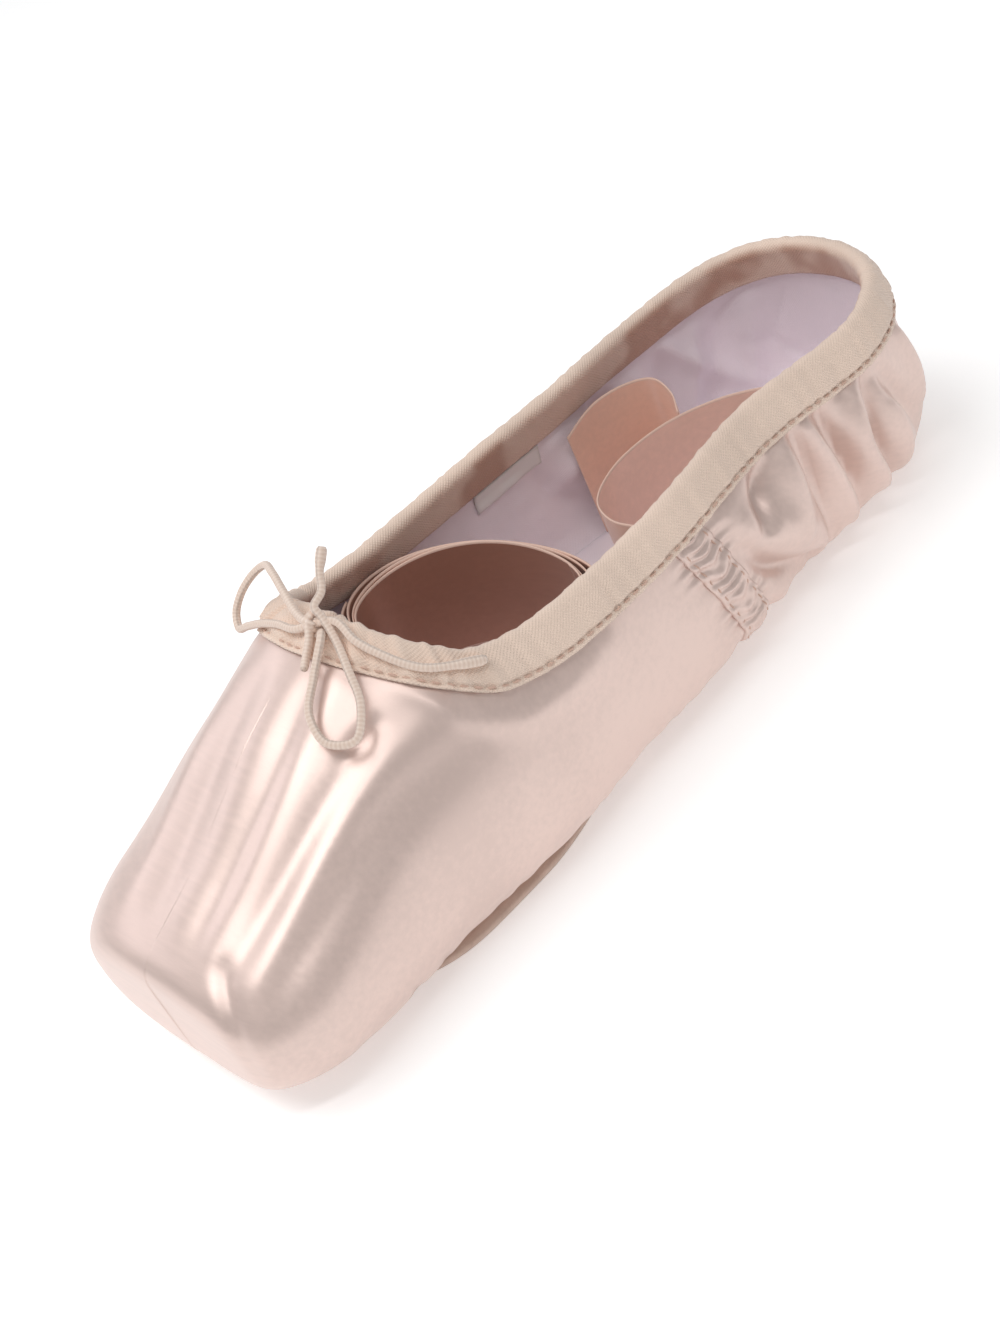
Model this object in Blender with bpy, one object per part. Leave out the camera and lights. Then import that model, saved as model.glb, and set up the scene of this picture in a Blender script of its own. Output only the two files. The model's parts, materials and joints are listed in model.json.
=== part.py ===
"""A satin pointe shoe, as a maker puts it together: a hollow upper with its hardened toe box, a leather
outsole, an insole, a folded binding with its drawstring bow, seam bands, a heel strip and two ribbons.

Metres. +X runs to the toe, +Y to the wearer's left and +Z up. The origin is on the floor, under the middle
of the shoe. The shape is the same left and right, so the shoe fits either foot.
"""

import math
from collections import namedtuple

import bmesh
import bpy
import numpy as np
from mathutils import Vector

MM = 0.001

# Overall sizes of the shoe
LENGTH = 205 * MM
HEEL_WIDTH = 57 * MM
WAIST_WIDTH = 58 * MM
BALL_WIDTH = 67 * MM
PLATFORM_WIDTH = 59 * MM
PLATFORM_HEIGHT = 30 * MM
VAMP_HEIGHT = 57 * MM
VAMP_LENGTH = 61.5 * MM
COLLAR_HEEL_HEIGHT = 41.5 * MM
COLLAR_SIDE_HEIGHT = 42 * MM
TOE_SPRING = 2.4 * MM
ARCH_RISE = 2.0 * MM

# Walls, leather and tape
GAP = 0.3 * MM
QUARTER_WALL = 1.6 * MM
BOX_WALL = 2.6 * MM
BOX_LENGTH = 68 * MM
SOLE_THICKNESS = 2.0 * MM
SOLE_LAP = 5.0 * MM
INSOLE_THICKNESS = 2.2 * MM
INSOLE_CLEARANCE = 2.0 * MM
INSOLE_TOE_CLEARANCE = 6.0 * MM
INSOLE_SEAT_GAP = 0.5 * MM
BINDING_DROP = 7.0 * MM
BINDING_INNER_DROP = 6.0 * MM
BINDING_TAPE = 0.8 * MM
BAND_THICKNESS = 0.6 * MM
SEAM_WIDTH = 8.5 * MM
SEAM_FROM_HEEL = 79 * MM
SEAM_SLANT = 0.30
HEEL_STRIP_WIDTH = 15 * MM

# Outline of the outsole
SOLE_HEEL_INSET = 20 * MM
SOLE_TOE_INSET = 27 * MM
SOLE_HEEL_WIDTH = 34 * MM
SOLE_WAIST_WIDTH = 31 * MM
SOLE_BALL_WIDTH = 53 * MM
SOLE_HEEL_ROUNDING = 15 * MM
SOLE_TOE_ROUNDING = 26 * MM

# Where the two ends of the last start to round off, and how squarely they do
HEEL_PIVOT = 31 * MM
THROAT_TO_PIVOT = 16 * MM
HEEL_ROUNDNESS = 2.3
TOE_SQUARENESS = 11.0
CORE_HEIGHT = 20 * MM
FLOOR_SOFTNESS = 0.8 * MM

# The drawstring and the ribbons
CORD = 1.5 * MM
KNOT_LENGTH = 4.6 * MM
KNOT_HEIGHT = 3.4 * MM
KNOT_AHEAD = 1.2 * MM
KNOT_ASIDE = 3.5 * MM
RIBBON_WIDTH = 25 * MM
RIBBON_FOLD = 1.0 * MM
ROLL_LENGTH = 49 * MM
ROLL_WIDTH = 32 * MM
ROLL_WALL = 2.4 * MM

# Fineness of the facets
HALF_ROUND = 34
UP_THE_SIDE = 15
FINE = 181

HEEL_X = -LENGTH / 2 + GAP + BAND_THICKNESS
TOE_X = LENGTH / 2
LAST_LENGTH = TOE_X - HEEL_X
HEEL_PIVOT_X = HEEL_X + HEEL_PIVOT
THROAT_X = TOE_X - VAMP_LENGTH
TOE_PIVOT_X = THROAT_X - THROAT_TO_PIVOT
FLOOR_OF_UPPER = SOLE_THICKNESS + GAP
INSOLE_FLOOR = FLOOR_OF_UPPER + QUARTER_WALL + INSOLE_SEAT_GAP

# Cross-sections of the last: place along it, width, height of the widest line, height of the top, and
# how square the curve is under and over that line
Section = namedtuple("Section", "along width widest top under over")
SECTIONS = (
    Section(0.00, 0.98 * HEEL_WIDTH, 0.42 * COLLAR_HEEL_HEIGHT, 1.60 * COLLAR_HEEL_HEIGHT, 2.9, 2.2),
    Section(0.14, 1.00 * HEEL_WIDTH, 0.40 * COLLAR_HEEL_HEIGHT, 1.60 * COLLAR_HEEL_HEIGHT, 3.0, 2.2),
    Section(0.28, 0.99 * WAIST_WIDTH, 0.38 * COLLAR_HEEL_HEIGHT, 1.52 * COLLAR_HEEL_HEIGHT, 3.0, 2.1),
    Section(0.42, 1.07 * WAIST_WIDTH, 0.36 * COLLAR_HEEL_HEIGHT, 1.20 * VAMP_HEIGHT, 3.0, 2.0),
    Section(0.56, 0.97 * BALL_WIDTH, 0.32 * VAMP_HEIGHT, 1.10 * VAMP_HEIGHT, 3.1, 2.0),
    Section(0.68, 1.00 * BALL_WIDTH, 0.33 * VAMP_HEIGHT, 1.03 * VAMP_HEIGHT, 3.1, 2.1),
    Section(0.80, 0.95 * BALL_WIDTH, 0.32 * VAMP_HEIGHT, 0.87 * VAMP_HEIGHT, 3.0, 2.2),
    Section(0.92, 1.12 * PLATFORM_WIDTH, 0.56 * PLATFORM_HEIGHT, 1.20 * PLATFORM_HEIGHT, 2.8, 2.3),
    Section(1.00, 1.00 * PLATFORM_WIDTH, 0.54 * PLATFORM_HEIGHT, 1.00 * PLATFORM_HEIGHT, 2.7, 2.4),
)

# Lift of the bottom line off the floor: flat at the heel and under the ball
Lift = namedtuple("Lift", "along height")
LIFTS = (
    Lift(0.00, 0.0), Lift(0.18, 0.0), Lift(0.30, 0.6 * ARCH_RISE), Lift(0.42, 1.0 * ARCH_RISE),
    Lift(0.54, 0.4 * ARCH_RISE), Lift(0.61, 0.0), Lift(0.76, 0.0), Lift(0.88, 0.3 * TOE_SPRING),
    Lift(1.00, 1.0 * TOE_SPRING),
)

# The collar seen from the side: place along the last and height of the upper's edge there
Collar = namedtuple("Collar", "along height")
THROAT = (THROAT_X - HEEL_X) / LAST_LENGTH
COLLARS = (
    Collar(-0.10, 1.02 * COLLAR_HEEL_HEIGHT), Collar(0.00, 1.00 * COLLAR_HEEL_HEIGHT),
    Collar(0.12, 0.97 * COLLAR_HEEL_HEIGHT), Collar(0.28, 1.01 * COLLAR_SIDE_HEIGHT),
    Collar(0.44, 1.00 * COLLAR_SIDE_HEIGHT), Collar(THROAT - 0.14, 1.02 * COLLAR_SIDE_HEIGHT),
    Collar(THROAT - 0.06, 0.81 * VAMP_HEIGHT), Collar(THROAT - 0.02, 0.92 * VAMP_HEIGHT),
    Collar(THROAT, 1.00 * VAMP_HEIGHT), Collar(THROAT + 0.05, 1.30 * VAMP_HEIGHT),
)

# Half widths of the outsole along its own length, before its ends are rounded
SoleRow = namedtuple("SoleRow", "along width")
SOLE_ROWS = (
    SoleRow(0.00, 1.00 * SOLE_HEEL_WIDTH), SoleRow(0.14, 1.00 * SOLE_HEEL_WIDTH),
    SoleRow(0.38, 1.00 * SOLE_WAIST_WIDTH), SoleRow(0.56, 0.76 * SOLE_BALL_WIDTH),
    SoleRow(0.76, 1.00 * SOLE_BALL_WIDTH), SoleRow(1.00, 0.96 * SOLE_BALL_WIDTH),
)

# Runs of the drawstring from the knot, in cord thicknesses: forward, to the left and up
Turn = namedtuple("Turn", "forward left up")
LOOP_FAR = (Turn(0.5, -2, 0.5), Turn(-1.5, -7, 1.5), Turn(-3, -10.5, 2), Turn(-4, -13.5, 1.5), Turn(-3, -16, 0),
            Turn(-1, -17.5, -2), Turn(0.5, -18, -4), Turn(1.5, -17, -5), Turn(1.5, -14.5, -4),
            Turn(1.5, -11, -2.5), Turn(1.5, -6, -1), Turn(1.5, -2, -0.5))
LOOP_NEAR = (Turn(1, 2, -0.5), Turn(5, 3.5, -3), Turn(9, 6, -5), Turn(10, 9, -7), Turn(8, 11.5, -7.5),
             Turn(5, 10.5, -5.5), Turn(2.5, 7, -3), Turn(0, 2.5, -0.5))
END_UP = (Turn(-0.5, 0.5, 1.75), Turn(-2.5, 0, 2.5), Turn(-4, -1, 4), Turn(-6, -1.5, 6))
END_SIDE = (Turn(-1, 2.5, 0), Turn(-0.5, 6, -1.5), Turn(-1, 9, -3), Turn(-3, 13, -5.5), Turn(-6, 15, -7),
            Turn(-9, 16, -8.5))
FEED = (Turn(2, 0.5, -1), Turn(3.5, 1, -2), Turn(5, 2, -2.5))

# Lines of the two loose ribbons in plan, as shares of the shoe's length from its middle and of half the
# ball width from its centre line
Bend = namedtuple("Bend", "along across")
RIBBON_NEAR = (Bend(-0.33, 0.45), Bend(-0.28, 0.10), Bend(-0.22, -0.10), Bend(-0.16, -0.15), Bend(-0.11, 0.00),
               Bend(-0.09, 0.25), Bend(-0.09, 0.50))
RIBBON_FAR = (Bend(-0.18, -0.70), Bend(-0.23, -0.65), Bend(-0.28, -0.45), Bend(-0.27, -0.25))


def glide(rows, values, at):
    """Read a table smoothly: a cubic through its rows that never overshoots them."""
    x, y = np.asarray(rows, float), np.asarray(values, float)
    at = np.clip(at, x[0], x[-1])
    step, rise = np.diff(x), np.diff(y) / np.diff(x)
    slope = np.zeros_like(y)
    slope[0], slope[-1] = rise[0], rise[-1]
    same = rise[:-1] * rise[1:] > 0
    left, right = 2 * step[1:] + step[:-1], step[1:] + 2 * step[:-1]
    safe = np.where(same, rise[:-1] * rise[1:], 1.0)
    slope[1:-1] = np.where(same, (left + right) * safe / (left * rise[1:] + right * rise[:-1] + (~same)), 0.0)
    i = np.clip(np.searchsorted(x, at, side="right") - 1, 0, len(step) - 1)
    t = (at - x[i]) / step[i]
    return (y[i] * (1 + 2 * t) * (1 - t) ** 2 + slope[i] * step[i] * t * (1 - t) ** 2
            + y[i + 1] * t * t * (3 - 2 * t) + slope[i + 1] * step[i] * t * t * (t - 1))


def table(rows, column, at):
    """One column of a table of named rows, read at a place along it."""
    return glide([row.along for row in rows], [getattr(row, column) for row in rows], at)


def ease(low, high, value):
    """Nought below low and one above high, with a soft change between."""
    t = np.clip((value - low) / (high - low), 0, 1)
    return t * t * (3 - 2 * t)


def lift(x):
    """Height of the shoe's bottom line off the floor."""
    return table(LIFTS, "height", (x - HEEL_X) / LAST_LENGTH)


def collar(x):
    """Height of the upper's edge, seen from the side."""
    return table(COLLARS, "height", (x - HEEL_X) / LAST_LENGTH)


def outside(p):
    """About how far points lie outside the shoe's outer face, in metres; less than nought within it."""
    x, y, z = p[..., 0], p[..., 1], p[..., 2]
    along = (x - HEEL_X) / LAST_LENGTH
    half, widest = table(SECTIONS, "width", along) / 2, table(SECTIONS, "widest", along)
    over = z > widest
    height = np.where(over, table(SECTIONS, "top", along) - widest, widest - lift(x))
    power = np.where(over, table(SECTIONS, "over", along), table(SECTIONS, "under", along))
    ring = ((np.abs(y) / half) ** power + (np.abs(z - widest) / height) ** power) ** (1 / power)
    toeward = np.clip((x - TOE_PIVOT_X) / (TOE_X - TOE_PIVOT_X), 0, None)
    heelward = np.clip((HEEL_PIVOT_X - x) / HEEL_PIVOT, 0, None)
    square = np.where(toeward > 0, TOE_SQUARENESS, HEEL_ROUNDNESS)
    last = ((ring ** square + (toeward + heelward) ** square) ** (1 / square) - 1) * CORE_HEIGHT
    floor = lift(x) + FLOOR_OF_UPPER - z
    return (last + floor + np.sqrt((last - floor) ** 2 + FLOOR_SOFTNESS ** 2)) / 2


def normals(p):
    """Directions straight out of the shoe's outer face at points on it."""
    step = 0.05 * MM
    slopes = [outside(p + step * axis) - outside(p - step * axis) for axis in np.eye(3)]
    n = np.stack(slopes, axis=-1)
    return n / np.linalg.norm(n, axis=-1, keepdims=True)


def strike(start, directions):
    """Points where rays from inside the shoe meet its outer face."""
    near, far = np.zeros(len(directions)), np.full(len(directions), 0.2)
    for _ in range(36):
        middle = (near + far) / 2
        inside = outside(start + middle[:, None] * directions) < 0
        near, far = np.where(inside, middle, near), np.where(inside, far, middle)
    return start + near[:, None] * directions


def measured(line):
    """Distance along a line of points, from its first."""
    return np.concatenate([[0.0], np.cumsum(np.linalg.norm(np.diff(line, axis=0), axis=1))])


def along_line(line, distances):
    """Points at the given distances along a line of points."""
    run = measured(line)
    return np.stack([np.interp(distances, run, line[:, axis]) for axis in range(3)], axis=-1)


def sole_half(x, inset=0.0):
    """Half width of the outsole's outline, drawn in by an inset all round."""
    heel, toe = HEEL_X + SOLE_HEEL_INSET + inset, TOE_X - SOLE_TOE_INSET - inset
    share = np.clip((x - heel) / (toe - heel), 0, 1)
    half = table(SOLE_ROWS, "width", share) / 2 - inset
    back = np.clip(1 - (x - heel) / SOLE_HEEL_ROUNDING, 0, 1)
    front = np.clip(1 - (toe - x) / SOLE_TOE_ROUNDING, 0, 1)
    return half * np.sqrt(1 - back ** 2) * (1 - front ** 2.6) ** (1 / 2.6)


def rib_plane(u):
    """Start and heading of the rib at u, from nought at the heel's back to one at the toe's tip."""
    if u < 0.2:
        return HEEL_PIVOT_X, math.radians(180 - 90 * u / 0.2)
    if u < 0.55:
        return HEEL_PIVOT_X + (TOE_PIVOT_X - HEEL_PIVOT_X) * (u - 0.2) / 0.35, math.radians(90)
    return TOE_PIVOT_X, math.radians(90) * ((1 - u) / 0.45) ** 1.4


def rib(u, side=1):
    """A line up the outer face, from the opening under the foot to the collar."""
    x0, heading = rib_plane(u)
    flat = np.array([math.cos(heading), side * math.sin(heading), 0.0])
    pitch = np.radians(np.linspace(-89.9, 89.0, FINE))[:, None]
    start = np.array([x0, 0.0, CORE_HEIGHT])
    line = strike(start, np.cos(pitch) * flat + np.sin(pitch) * np.array([0.0, 0.0, 1.0]))
    return trim_to_collar(trim_to_opening(line, start, flat))


def trim_to_opening(line, start, flat):
    """Cut a rib off at the edge of the opening that the outsole closes."""
    reach = (line - start) @ flat
    near, far = 0.0, 0.2
    for _ in range(30):
        middle = (near + far) / 2
        x, y = start[0] + middle * flat[0], abs(middle * flat[1])
        heel, toe = HEEL_X + SOLE_HEEL_INSET + SOLE_LAP, TOE_X - SOLE_TOE_INSET - SOLE_LAP
        within = heel < x < toe and y < sole_half(x, SOLE_LAP)
        near, far = (middle, far) if within else (near, middle)
    first = int(np.argmax(reach > near))
    share = (near - reach[first - 1]) / (reach[first] - reach[first - 1])
    return np.vstack([line[first - 1] + share * (line[first] - line[first - 1]), line[first:]])


def trim_to_collar(line):
    """Cut a rib off at the collar's height."""
    over = line[:, 2] - collar(line[:, 0])
    last = int(np.argmax(over > 0))
    share = -over[last - 1] / (over[last] - over[last - 1])
    return np.vstack([line[:last], line[last - 1] + share * (line[last] - line[last - 1])])


def wall(points, shares):
    """Thickness of the upper: stiff and thick in the box, thin at the collar and under the foot."""
    box = ease(TOE_X - BOX_LENGTH, TOE_X - 0.6 * BOX_LENGTH, points[:, 0])
    above = points[:, 2] - lift(points[:, 0]) - INSOLE_FLOOR
    height = ease(INSOLE_THICKNESS, 4 * INSOLE_THICKNESS, above) * (1 - ease(0.72, 0.92, shares))
    return QUARTER_WALL + (BOX_WALL - QUARTER_WALL) * box * height


def stations():
    """Places round the shoe: up its left side from the heel to the toe and back along its right."""
    there = [(i / HALF_ROUND, 1) for i in range(HALF_ROUND + 1)]
    return there + [(i / HALF_ROUND, -1) for i in range(HALF_ROUND - 1, 0, -1)]


def principled(name, colour, roughness, sheen=0.0):
    """A plain material."""
    material = bpy.data.materials.new(name)
    material.use_nodes = True
    shader = material.node_tree.nodes["Principled BSDF"]
    shader.inputs["Base Color"].default_value = (*colour, 1.0)
    shader.inputs["Roughness"].default_value = roughness
    shader.inputs["Sheen Weight"].default_value = sheen
    return material


def solid(name, points, faces, material, collection):
    """Make one closed piece out of its points and faces."""
    mesh = bpy.data.meshes.new(name)
    mesh.from_pydata([tuple(map(float, p)) for p in points], [], faces)
    work = bmesh.new()
    work.from_mesh(mesh)
    bmesh.ops.recalc_face_normals(work, faces=work.faces)
    work.to_mesh(mesh)
    work.free()
    mesh.materials.append(material)
    piece = bpy.data.objects.new(name, mesh)
    collection.objects.link(piece)
    return piece


def ring_of_rings(rings):
    """Faces of a tube closed both ways: rings of equal length, the last joined to the first."""
    points = np.concatenate(rings)
    count, size = len(rings), len(rings[0])
    faces = [(i * size + j, i * size + (j + 1) % size, (i + 1) % count * size + (j + 1) % size,
              (i + 1) % count * size + j) for i in range(count) for j in range(size)]
    return points, faces


def capped_rings(rings):
    """Faces of a tube closed round and capped at its two ends."""
    points = np.concatenate(rings)
    count, size = len(rings), len(rings[0])
    faces = [(i * size + j, i * size + (j + 1) % size, (i + 1) * size + (j + 1) % size,
              (i + 1) * size + j) for i in range(count - 1) for j in range(size)]
    return points, faces + [tuple(range(size)), tuple((count - 1) * size + j for j in range(size))]


def make_upper(collection):
    """The hollow upper: quarters, vamp and box in one skin with a real wall."""
    shares = np.linspace(0, 1, UP_THE_SIDE + 1)
    rings = []
    for u, side in stations():
        line = rib(u, side)
        outer = along_line(line, shares * measured(line)[-1])
        inner = outer - wall(outer, shares)[:, None] * normals(outer)
        rings.append(np.vstack([outer, inner[::-1]]))
    return solid("upper", *ring_of_rings(rings), principled("satin", (0.76, 0.60, 0.54), 0.38, 0.3), collection)


def make_binding(collection):
    """The tape folded over the collar, with a leg down each face of the upper."""
    rings = []
    near, far = GAP, GAP + BINDING_TAPE
    for u, side in stations():
        line = rib(u, side)
        total = measured(line)[-1]
        down = np.array([1.0, 0.66, 0.33, 0.0])
        outer = along_line(line, total - down * BINDING_DROP)
        under = along_line(line, total - down * BINDING_INNER_DROP)
        n_out, n_in = normals(outer), normals(under)
        edge, out = outer[-1], n_out[-1]
        up = (outer[-1] - along_line(line, [total - 1.0 * MM])[0])
        up = up / np.linalg.norm(up)
        middle = edge - out * QUARTER_WALL / 2 + up * GAP
        wide, thin = QUARTER_WALL / 2 + far, QUARTER_WALL / 2 + near
        turn = np.radians([30, 60, 90, 120, 150])
        crown = [middle + wide * (math.cos(a) * out + math.sin(a) * up) for a in turn]
        fold = [middle + thin * math.cos(a) * out + 0.5 * GAP * up for a in np.radians([150, 30])]
        rings.append(np.vstack([outer + far * n_out, crown, (under - (QUARTER_WALL + far) * n_in)[::-1],
                                under - (QUARTER_WALL + near) * n_in, fold, (outer + near * n_out)[::-1]]))
    return solid("binding", *ring_of_rings(rings), principled("cotton_tape", (0.80, 0.62, 0.48), 0.8), collection)


def plate(name, lower, upper, material, collection):
    """A flat piece between two outlines, given as (x, half width, z) from heel to toe."""
    count = len(lower)
    points = [(x, side * y, z) for outline in (lower, upper) for side in (1, -1) for x, y, z in outline]
    faces = []
    for level in (0, 2 * count):
        faces += [(level + i, level + i + 1, level + count + i + 1, level + count + i) for i in range(count - 1)]
    for row in (0, count):
        faces += [(row + i, row + i + 1, row + 2 * count + i + 1, row + 2 * count + i) for i in range(count - 1)]
    faces += [(i, count + i, 3 * count + i, 2 * count + i) for i in (0, count - 1)]
    return solid(name, points, faces, material, collection)


def make_outsole(collection):
    """The leather outsole, flat at the heel and under the ball, with a slight arch and toe spring."""
    heel, toe = HEEL_X + SOLE_HEEL_INSET, TOE_X - SOLE_TOE_INSET
    turn = (1 - np.cos(np.linspace(0.02, 0.985, 56) * math.pi)) / 2
    xs = heel + (toe - heel) * turn
    halves, lifts = sole_half(xs), lift(xs)
    lower = [(x, half, up) for x, half, up in zip(xs, halves, lifts)]
    top = [(x, half, up + SOLE_THICKNESS) for x, half, up in zip(xs, halves, lifts)]
    return plate("outsole", lower, top, principled("suede", (0.66, 0.46, 0.36), 0.9), collection)


def make_insole(collection):
    """The insole, lying inside on the turned-in edge of the upper."""
    outlines = ([], [])
    shares = np.linspace(0, 1, FINE)
    for u in np.linspace(0.004, 0.996, 2 * HALF_ROUND):
        line = rib(u)
        outer = along_line(line, shares * measured(line)[-1])
        inner = outer - wall(outer, shares)[:, None] * normals(outer)
        start, heading = rib_plane(u)
        flat = np.array([math.cos(heading), math.sin(heading)])
        reach = (inner[:, :2] - [start, 0.0]) @ flat
        height = inner[:, 2] - lift(inner[:, 0])
        low = int(np.argmax(height > INSOLE_FLOOR))
        for outline, level in zip(outlines, (INSOLE_FLOOR, INSOLE_FLOOR + INSOLE_THICKNESS)):
            r = np.interp(level, height[low - 1:low + 60], reach[low - 1:low + 60])
            box = ease(TOE_X - BOX_LENGTH, TOE_X - 0.3 * BOX_LENGTH, start + r * flat[0])
            r -= INSOLE_CLEARANCE + (INSOLE_TOE_CLEARANCE - INSOLE_CLEARANCE) * box
            x = start + r * flat[0]
            outline.append((x, r * flat[1], float(lift(x)) + level))
    return plate("insole", *outlines, principled("lining_cloth", (0.72, 0.62, 0.62), 0.9), collection)


def band(name, trails, material, collection):
    """A thin strip lying on the upper: side by side trails of points, each raised twice off it."""
    rings = []
    for trail in trails:
        n = normals(trail)
        rings.append(np.vstack([trail + GAP * n, (trail + (GAP + BAND_THICKNESS) * n)[::-1]]))
    return solid(name, *capped_rings(rings), material, collection)


def below_binding(line):
    """Cut a trail off just under the binding."""
    line = trim_to_collar(line)
    stop = measured(line)[-1] - BINDING_DROP - 1.5 * GAP
    return along_line(line, np.linspace(0, stop, 200))


def make_heel_strip(collection):
    """The strip of satin up the back, from the outsole's end to the binding."""
    trails = []
    pitch = np.radians(np.linspace(-89.5, 88.0, FINE))[:, None]
    for across in np.linspace(-0.5, 0.5, 7) * HEEL_STRIP_WIDTH:
        start = np.array([HEEL_PIVOT_X, across, CORE_HEIGHT])
        line = strike(start, np.cos(pitch) * np.array([-1.0, 0, 0]) + np.sin(pitch) * np.array([0, 0, 1.0]))
        line = below_binding(line)
        end = HEEL_X + SOLE_HEEL_INSET - 3 * GAP + SOLE_HEEL_ROUNDING * (1 - math.sqrt(
            1 - (across / (0.5 * SOLE_HEEL_WIDTH)) ** 2))
        first = int(np.argmax(line[:, 0] < end))
        trails.append(along_line(line[first:], np.linspace(0, measured(line[first:])[-1], 17)))
    return band("heel_strip", trails, principled("satin_strip", (0.78, 0.62, 0.56), 0.4), collection)


def make_seam_band(side, name, collection):
    """The gathered band between two rows of stitches where vamp and quarter meet."""
    trails = []
    pitch = np.radians(np.linspace(-89.0, 88.0, FINE))[:, None]
    for shift in np.linspace(-0.5, 0.5, 4) * SEAM_WIDTH:
        start = np.array([HEEL_X + SEAM_FROM_HEEL + shift, 0.0, CORE_HEIGHT])
        headings = np.cos(pitch) * np.array([0, side, 0]) + np.sin(pitch) * np.array([SEAM_SLANT, 0, 1.0])
        line = below_binding(strike(start, headings / np.linalg.norm(headings, axis=1, keepdims=True)))
        clear = np.abs(line[:, 1]) > sole_half(line[:, 0]) + 3 * GAP
        first = int(np.argmax(clear))
        trails.append(along_line(line[first:], np.linspace(0, measured(line[first:])[-1], 13)))
    return band(name, trails, principled(name + "_satin", (0.78, 0.62, 0.56), 0.4), collection)


def smooth_line(points, count):
    """A smooth line through a few points."""
    points = np.asarray(points, float)
    run = measured(points)
    at = np.linspace(0, run[-1], count)
    slope = np.gradient(points, run, axis=0)
    i = np.clip(np.searchsorted(run, at, side="right") - 1, 0, len(run) - 2)
    step = (run[i + 1] - run[i])[:, None]
    t = ((at - run[i]) / step[:, 0])[:, None]
    return (points[i] * (1 + 2 * t) * (1 - t) ** 2 + slope[i] * step * t * (1 - t) ** 2
            + points[i + 1] * t * t * (3 - 2 * t) + slope[i + 1] * step * t * t * (t - 1))


def make_cord(name, turns, knot, count, collection):
    """One run of round cord from the knot, along its turns."""
    line = smooth_line([knot + CORD * np.array(turn) for turn in turns], count)
    rings, side = [], Vector((0, 0, 1)).cross(Vector(line[1] - line[0]))
    for i, point in enumerate(line):
        ahead = Vector(line[min(i + 1, count - 1)] - line[max(i - 1, 0)]).normalized()
        side = (side - ahead * side.dot(ahead)).normalized()
        other = ahead.cross(side)
        rings.append(np.array([point + CORD / 2 * (math.cos(a) * np.array(side) + math.sin(a) * np.array(other))
                               for a in np.linspace(0, 2 * math.pi, 8, endpoint=False)]))
    return solid(name, *capped_rings(rings), principled(name + "_cotton", (0.80, 0.60, 0.50), 0.7), collection)


def make_knot(knot, collection):
    """The knot, a rounded lump wider than the cord."""
    rings = []
    for pitch in np.radians(np.linspace(-78, 78, 7)):
        wide = math.cos(pitch)
        rings.append(np.array([knot + (0.36 * KNOT_LENGTH * wide * math.cos(a), 0.5 * KNOT_LENGTH * math.sin(pitch),
                                       0.5 * KNOT_HEIGHT * wide * math.sin(a))
                               for a in np.linspace(0, 2 * math.pi, 10, endpoint=False)]))
    return solid("drawstring_knot", *capped_rings(rings), principled("knot_cotton", (0.8, 0.6, 0.5), 0.7), collection)


def upright(name, line, thickness, low, high, collection, closed=False):
    """A ribbon standing on its edge along a line in plan."""
    line = np.asarray(line)
    ahead = (np.roll(line, -1, 0) - np.roll(line, 1, 0)) if closed else np.gradient(line, axis=0)
    across = np.stack([-ahead[:, 1], ahead[:, 0]], axis=1) / np.linalg.norm(ahead, axis=1, keepdims=True)
    rings = []
    for point, way in zip(line, across):
        a, b = point - way * thickness / 2, point + way * thickness / 2
        base = float(lift(point[0]))
        rings.append(np.array([(*a, base + low), (*b, base + low), (*b, base + high), (*a, base + high)]))
    shape = ring_of_rings(rings) if closed else capped_rings(rings)
    return solid(name, *shape, principled(name + "_satin", (0.74, 0.55, 0.48), 0.4), collection)


def make_ribbons(collection):
    """The ribbons tucked inside: an oval roll in front and two loose lengths behind it."""
    low = INSOLE_FLOOR + INSOLE_THICKNESS + GAP
    turn = np.linspace(0, 2 * math.pi, 48, endpoint=False)
    oval = np.stack([ROLL_CENTRE_X + (ROLL_LENGTH - ROLL_WALL) / 2 * np.cos(turn) * math.cos(ROLL_YAW)
                     - (ROLL_WIDTH - ROLL_WALL) / 2 * np.sin(turn) * math.sin(ROLL_YAW),
                     ROLL_CENTRE_Y + (ROLL_LENGTH - ROLL_WALL) / 2 * np.cos(turn) * math.sin(ROLL_YAW)
                     + (ROLL_WIDTH - ROLL_WALL) / 2 * np.sin(turn) * math.cos(ROLL_YAW)], axis=1)
    upright("ribbon_roll", oval, ROLL_WALL, low, low + RIBBON_WIDTH, collection, closed=True)
    for name, bends in (("ribbon_near", RIBBON_NEAR), ("ribbon_far", RIBBON_FAR)):
        line = smooth_line([(b.along * LENGTH, b.across * BALL_WIDTH / 2, 0.0) for b in bends], 22)
        upright(name, line[:, :2], RIBBON_FOLD, low, low + RIBBON_WIDTH, collection)


ROLL_CENTRE_X = 10.0 * MM
ROLL_CENTRE_Y = -3.0 * MM
ROLL_YAW = math.radians(-62)


def knot_place():
    """Where the knot sits, on the crown of the binding at the throat."""
    line = rib(1.0)
    seat = along_line(line, [measured(line)[-1] - KNOT_AHEAD])
    return (seat + (2 * GAP + BINDING_TAPE + 0.5 * KNOT_HEIGHT) * normals(seat))[0] + np.array([0, KNOT_ASIDE, 0])


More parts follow.
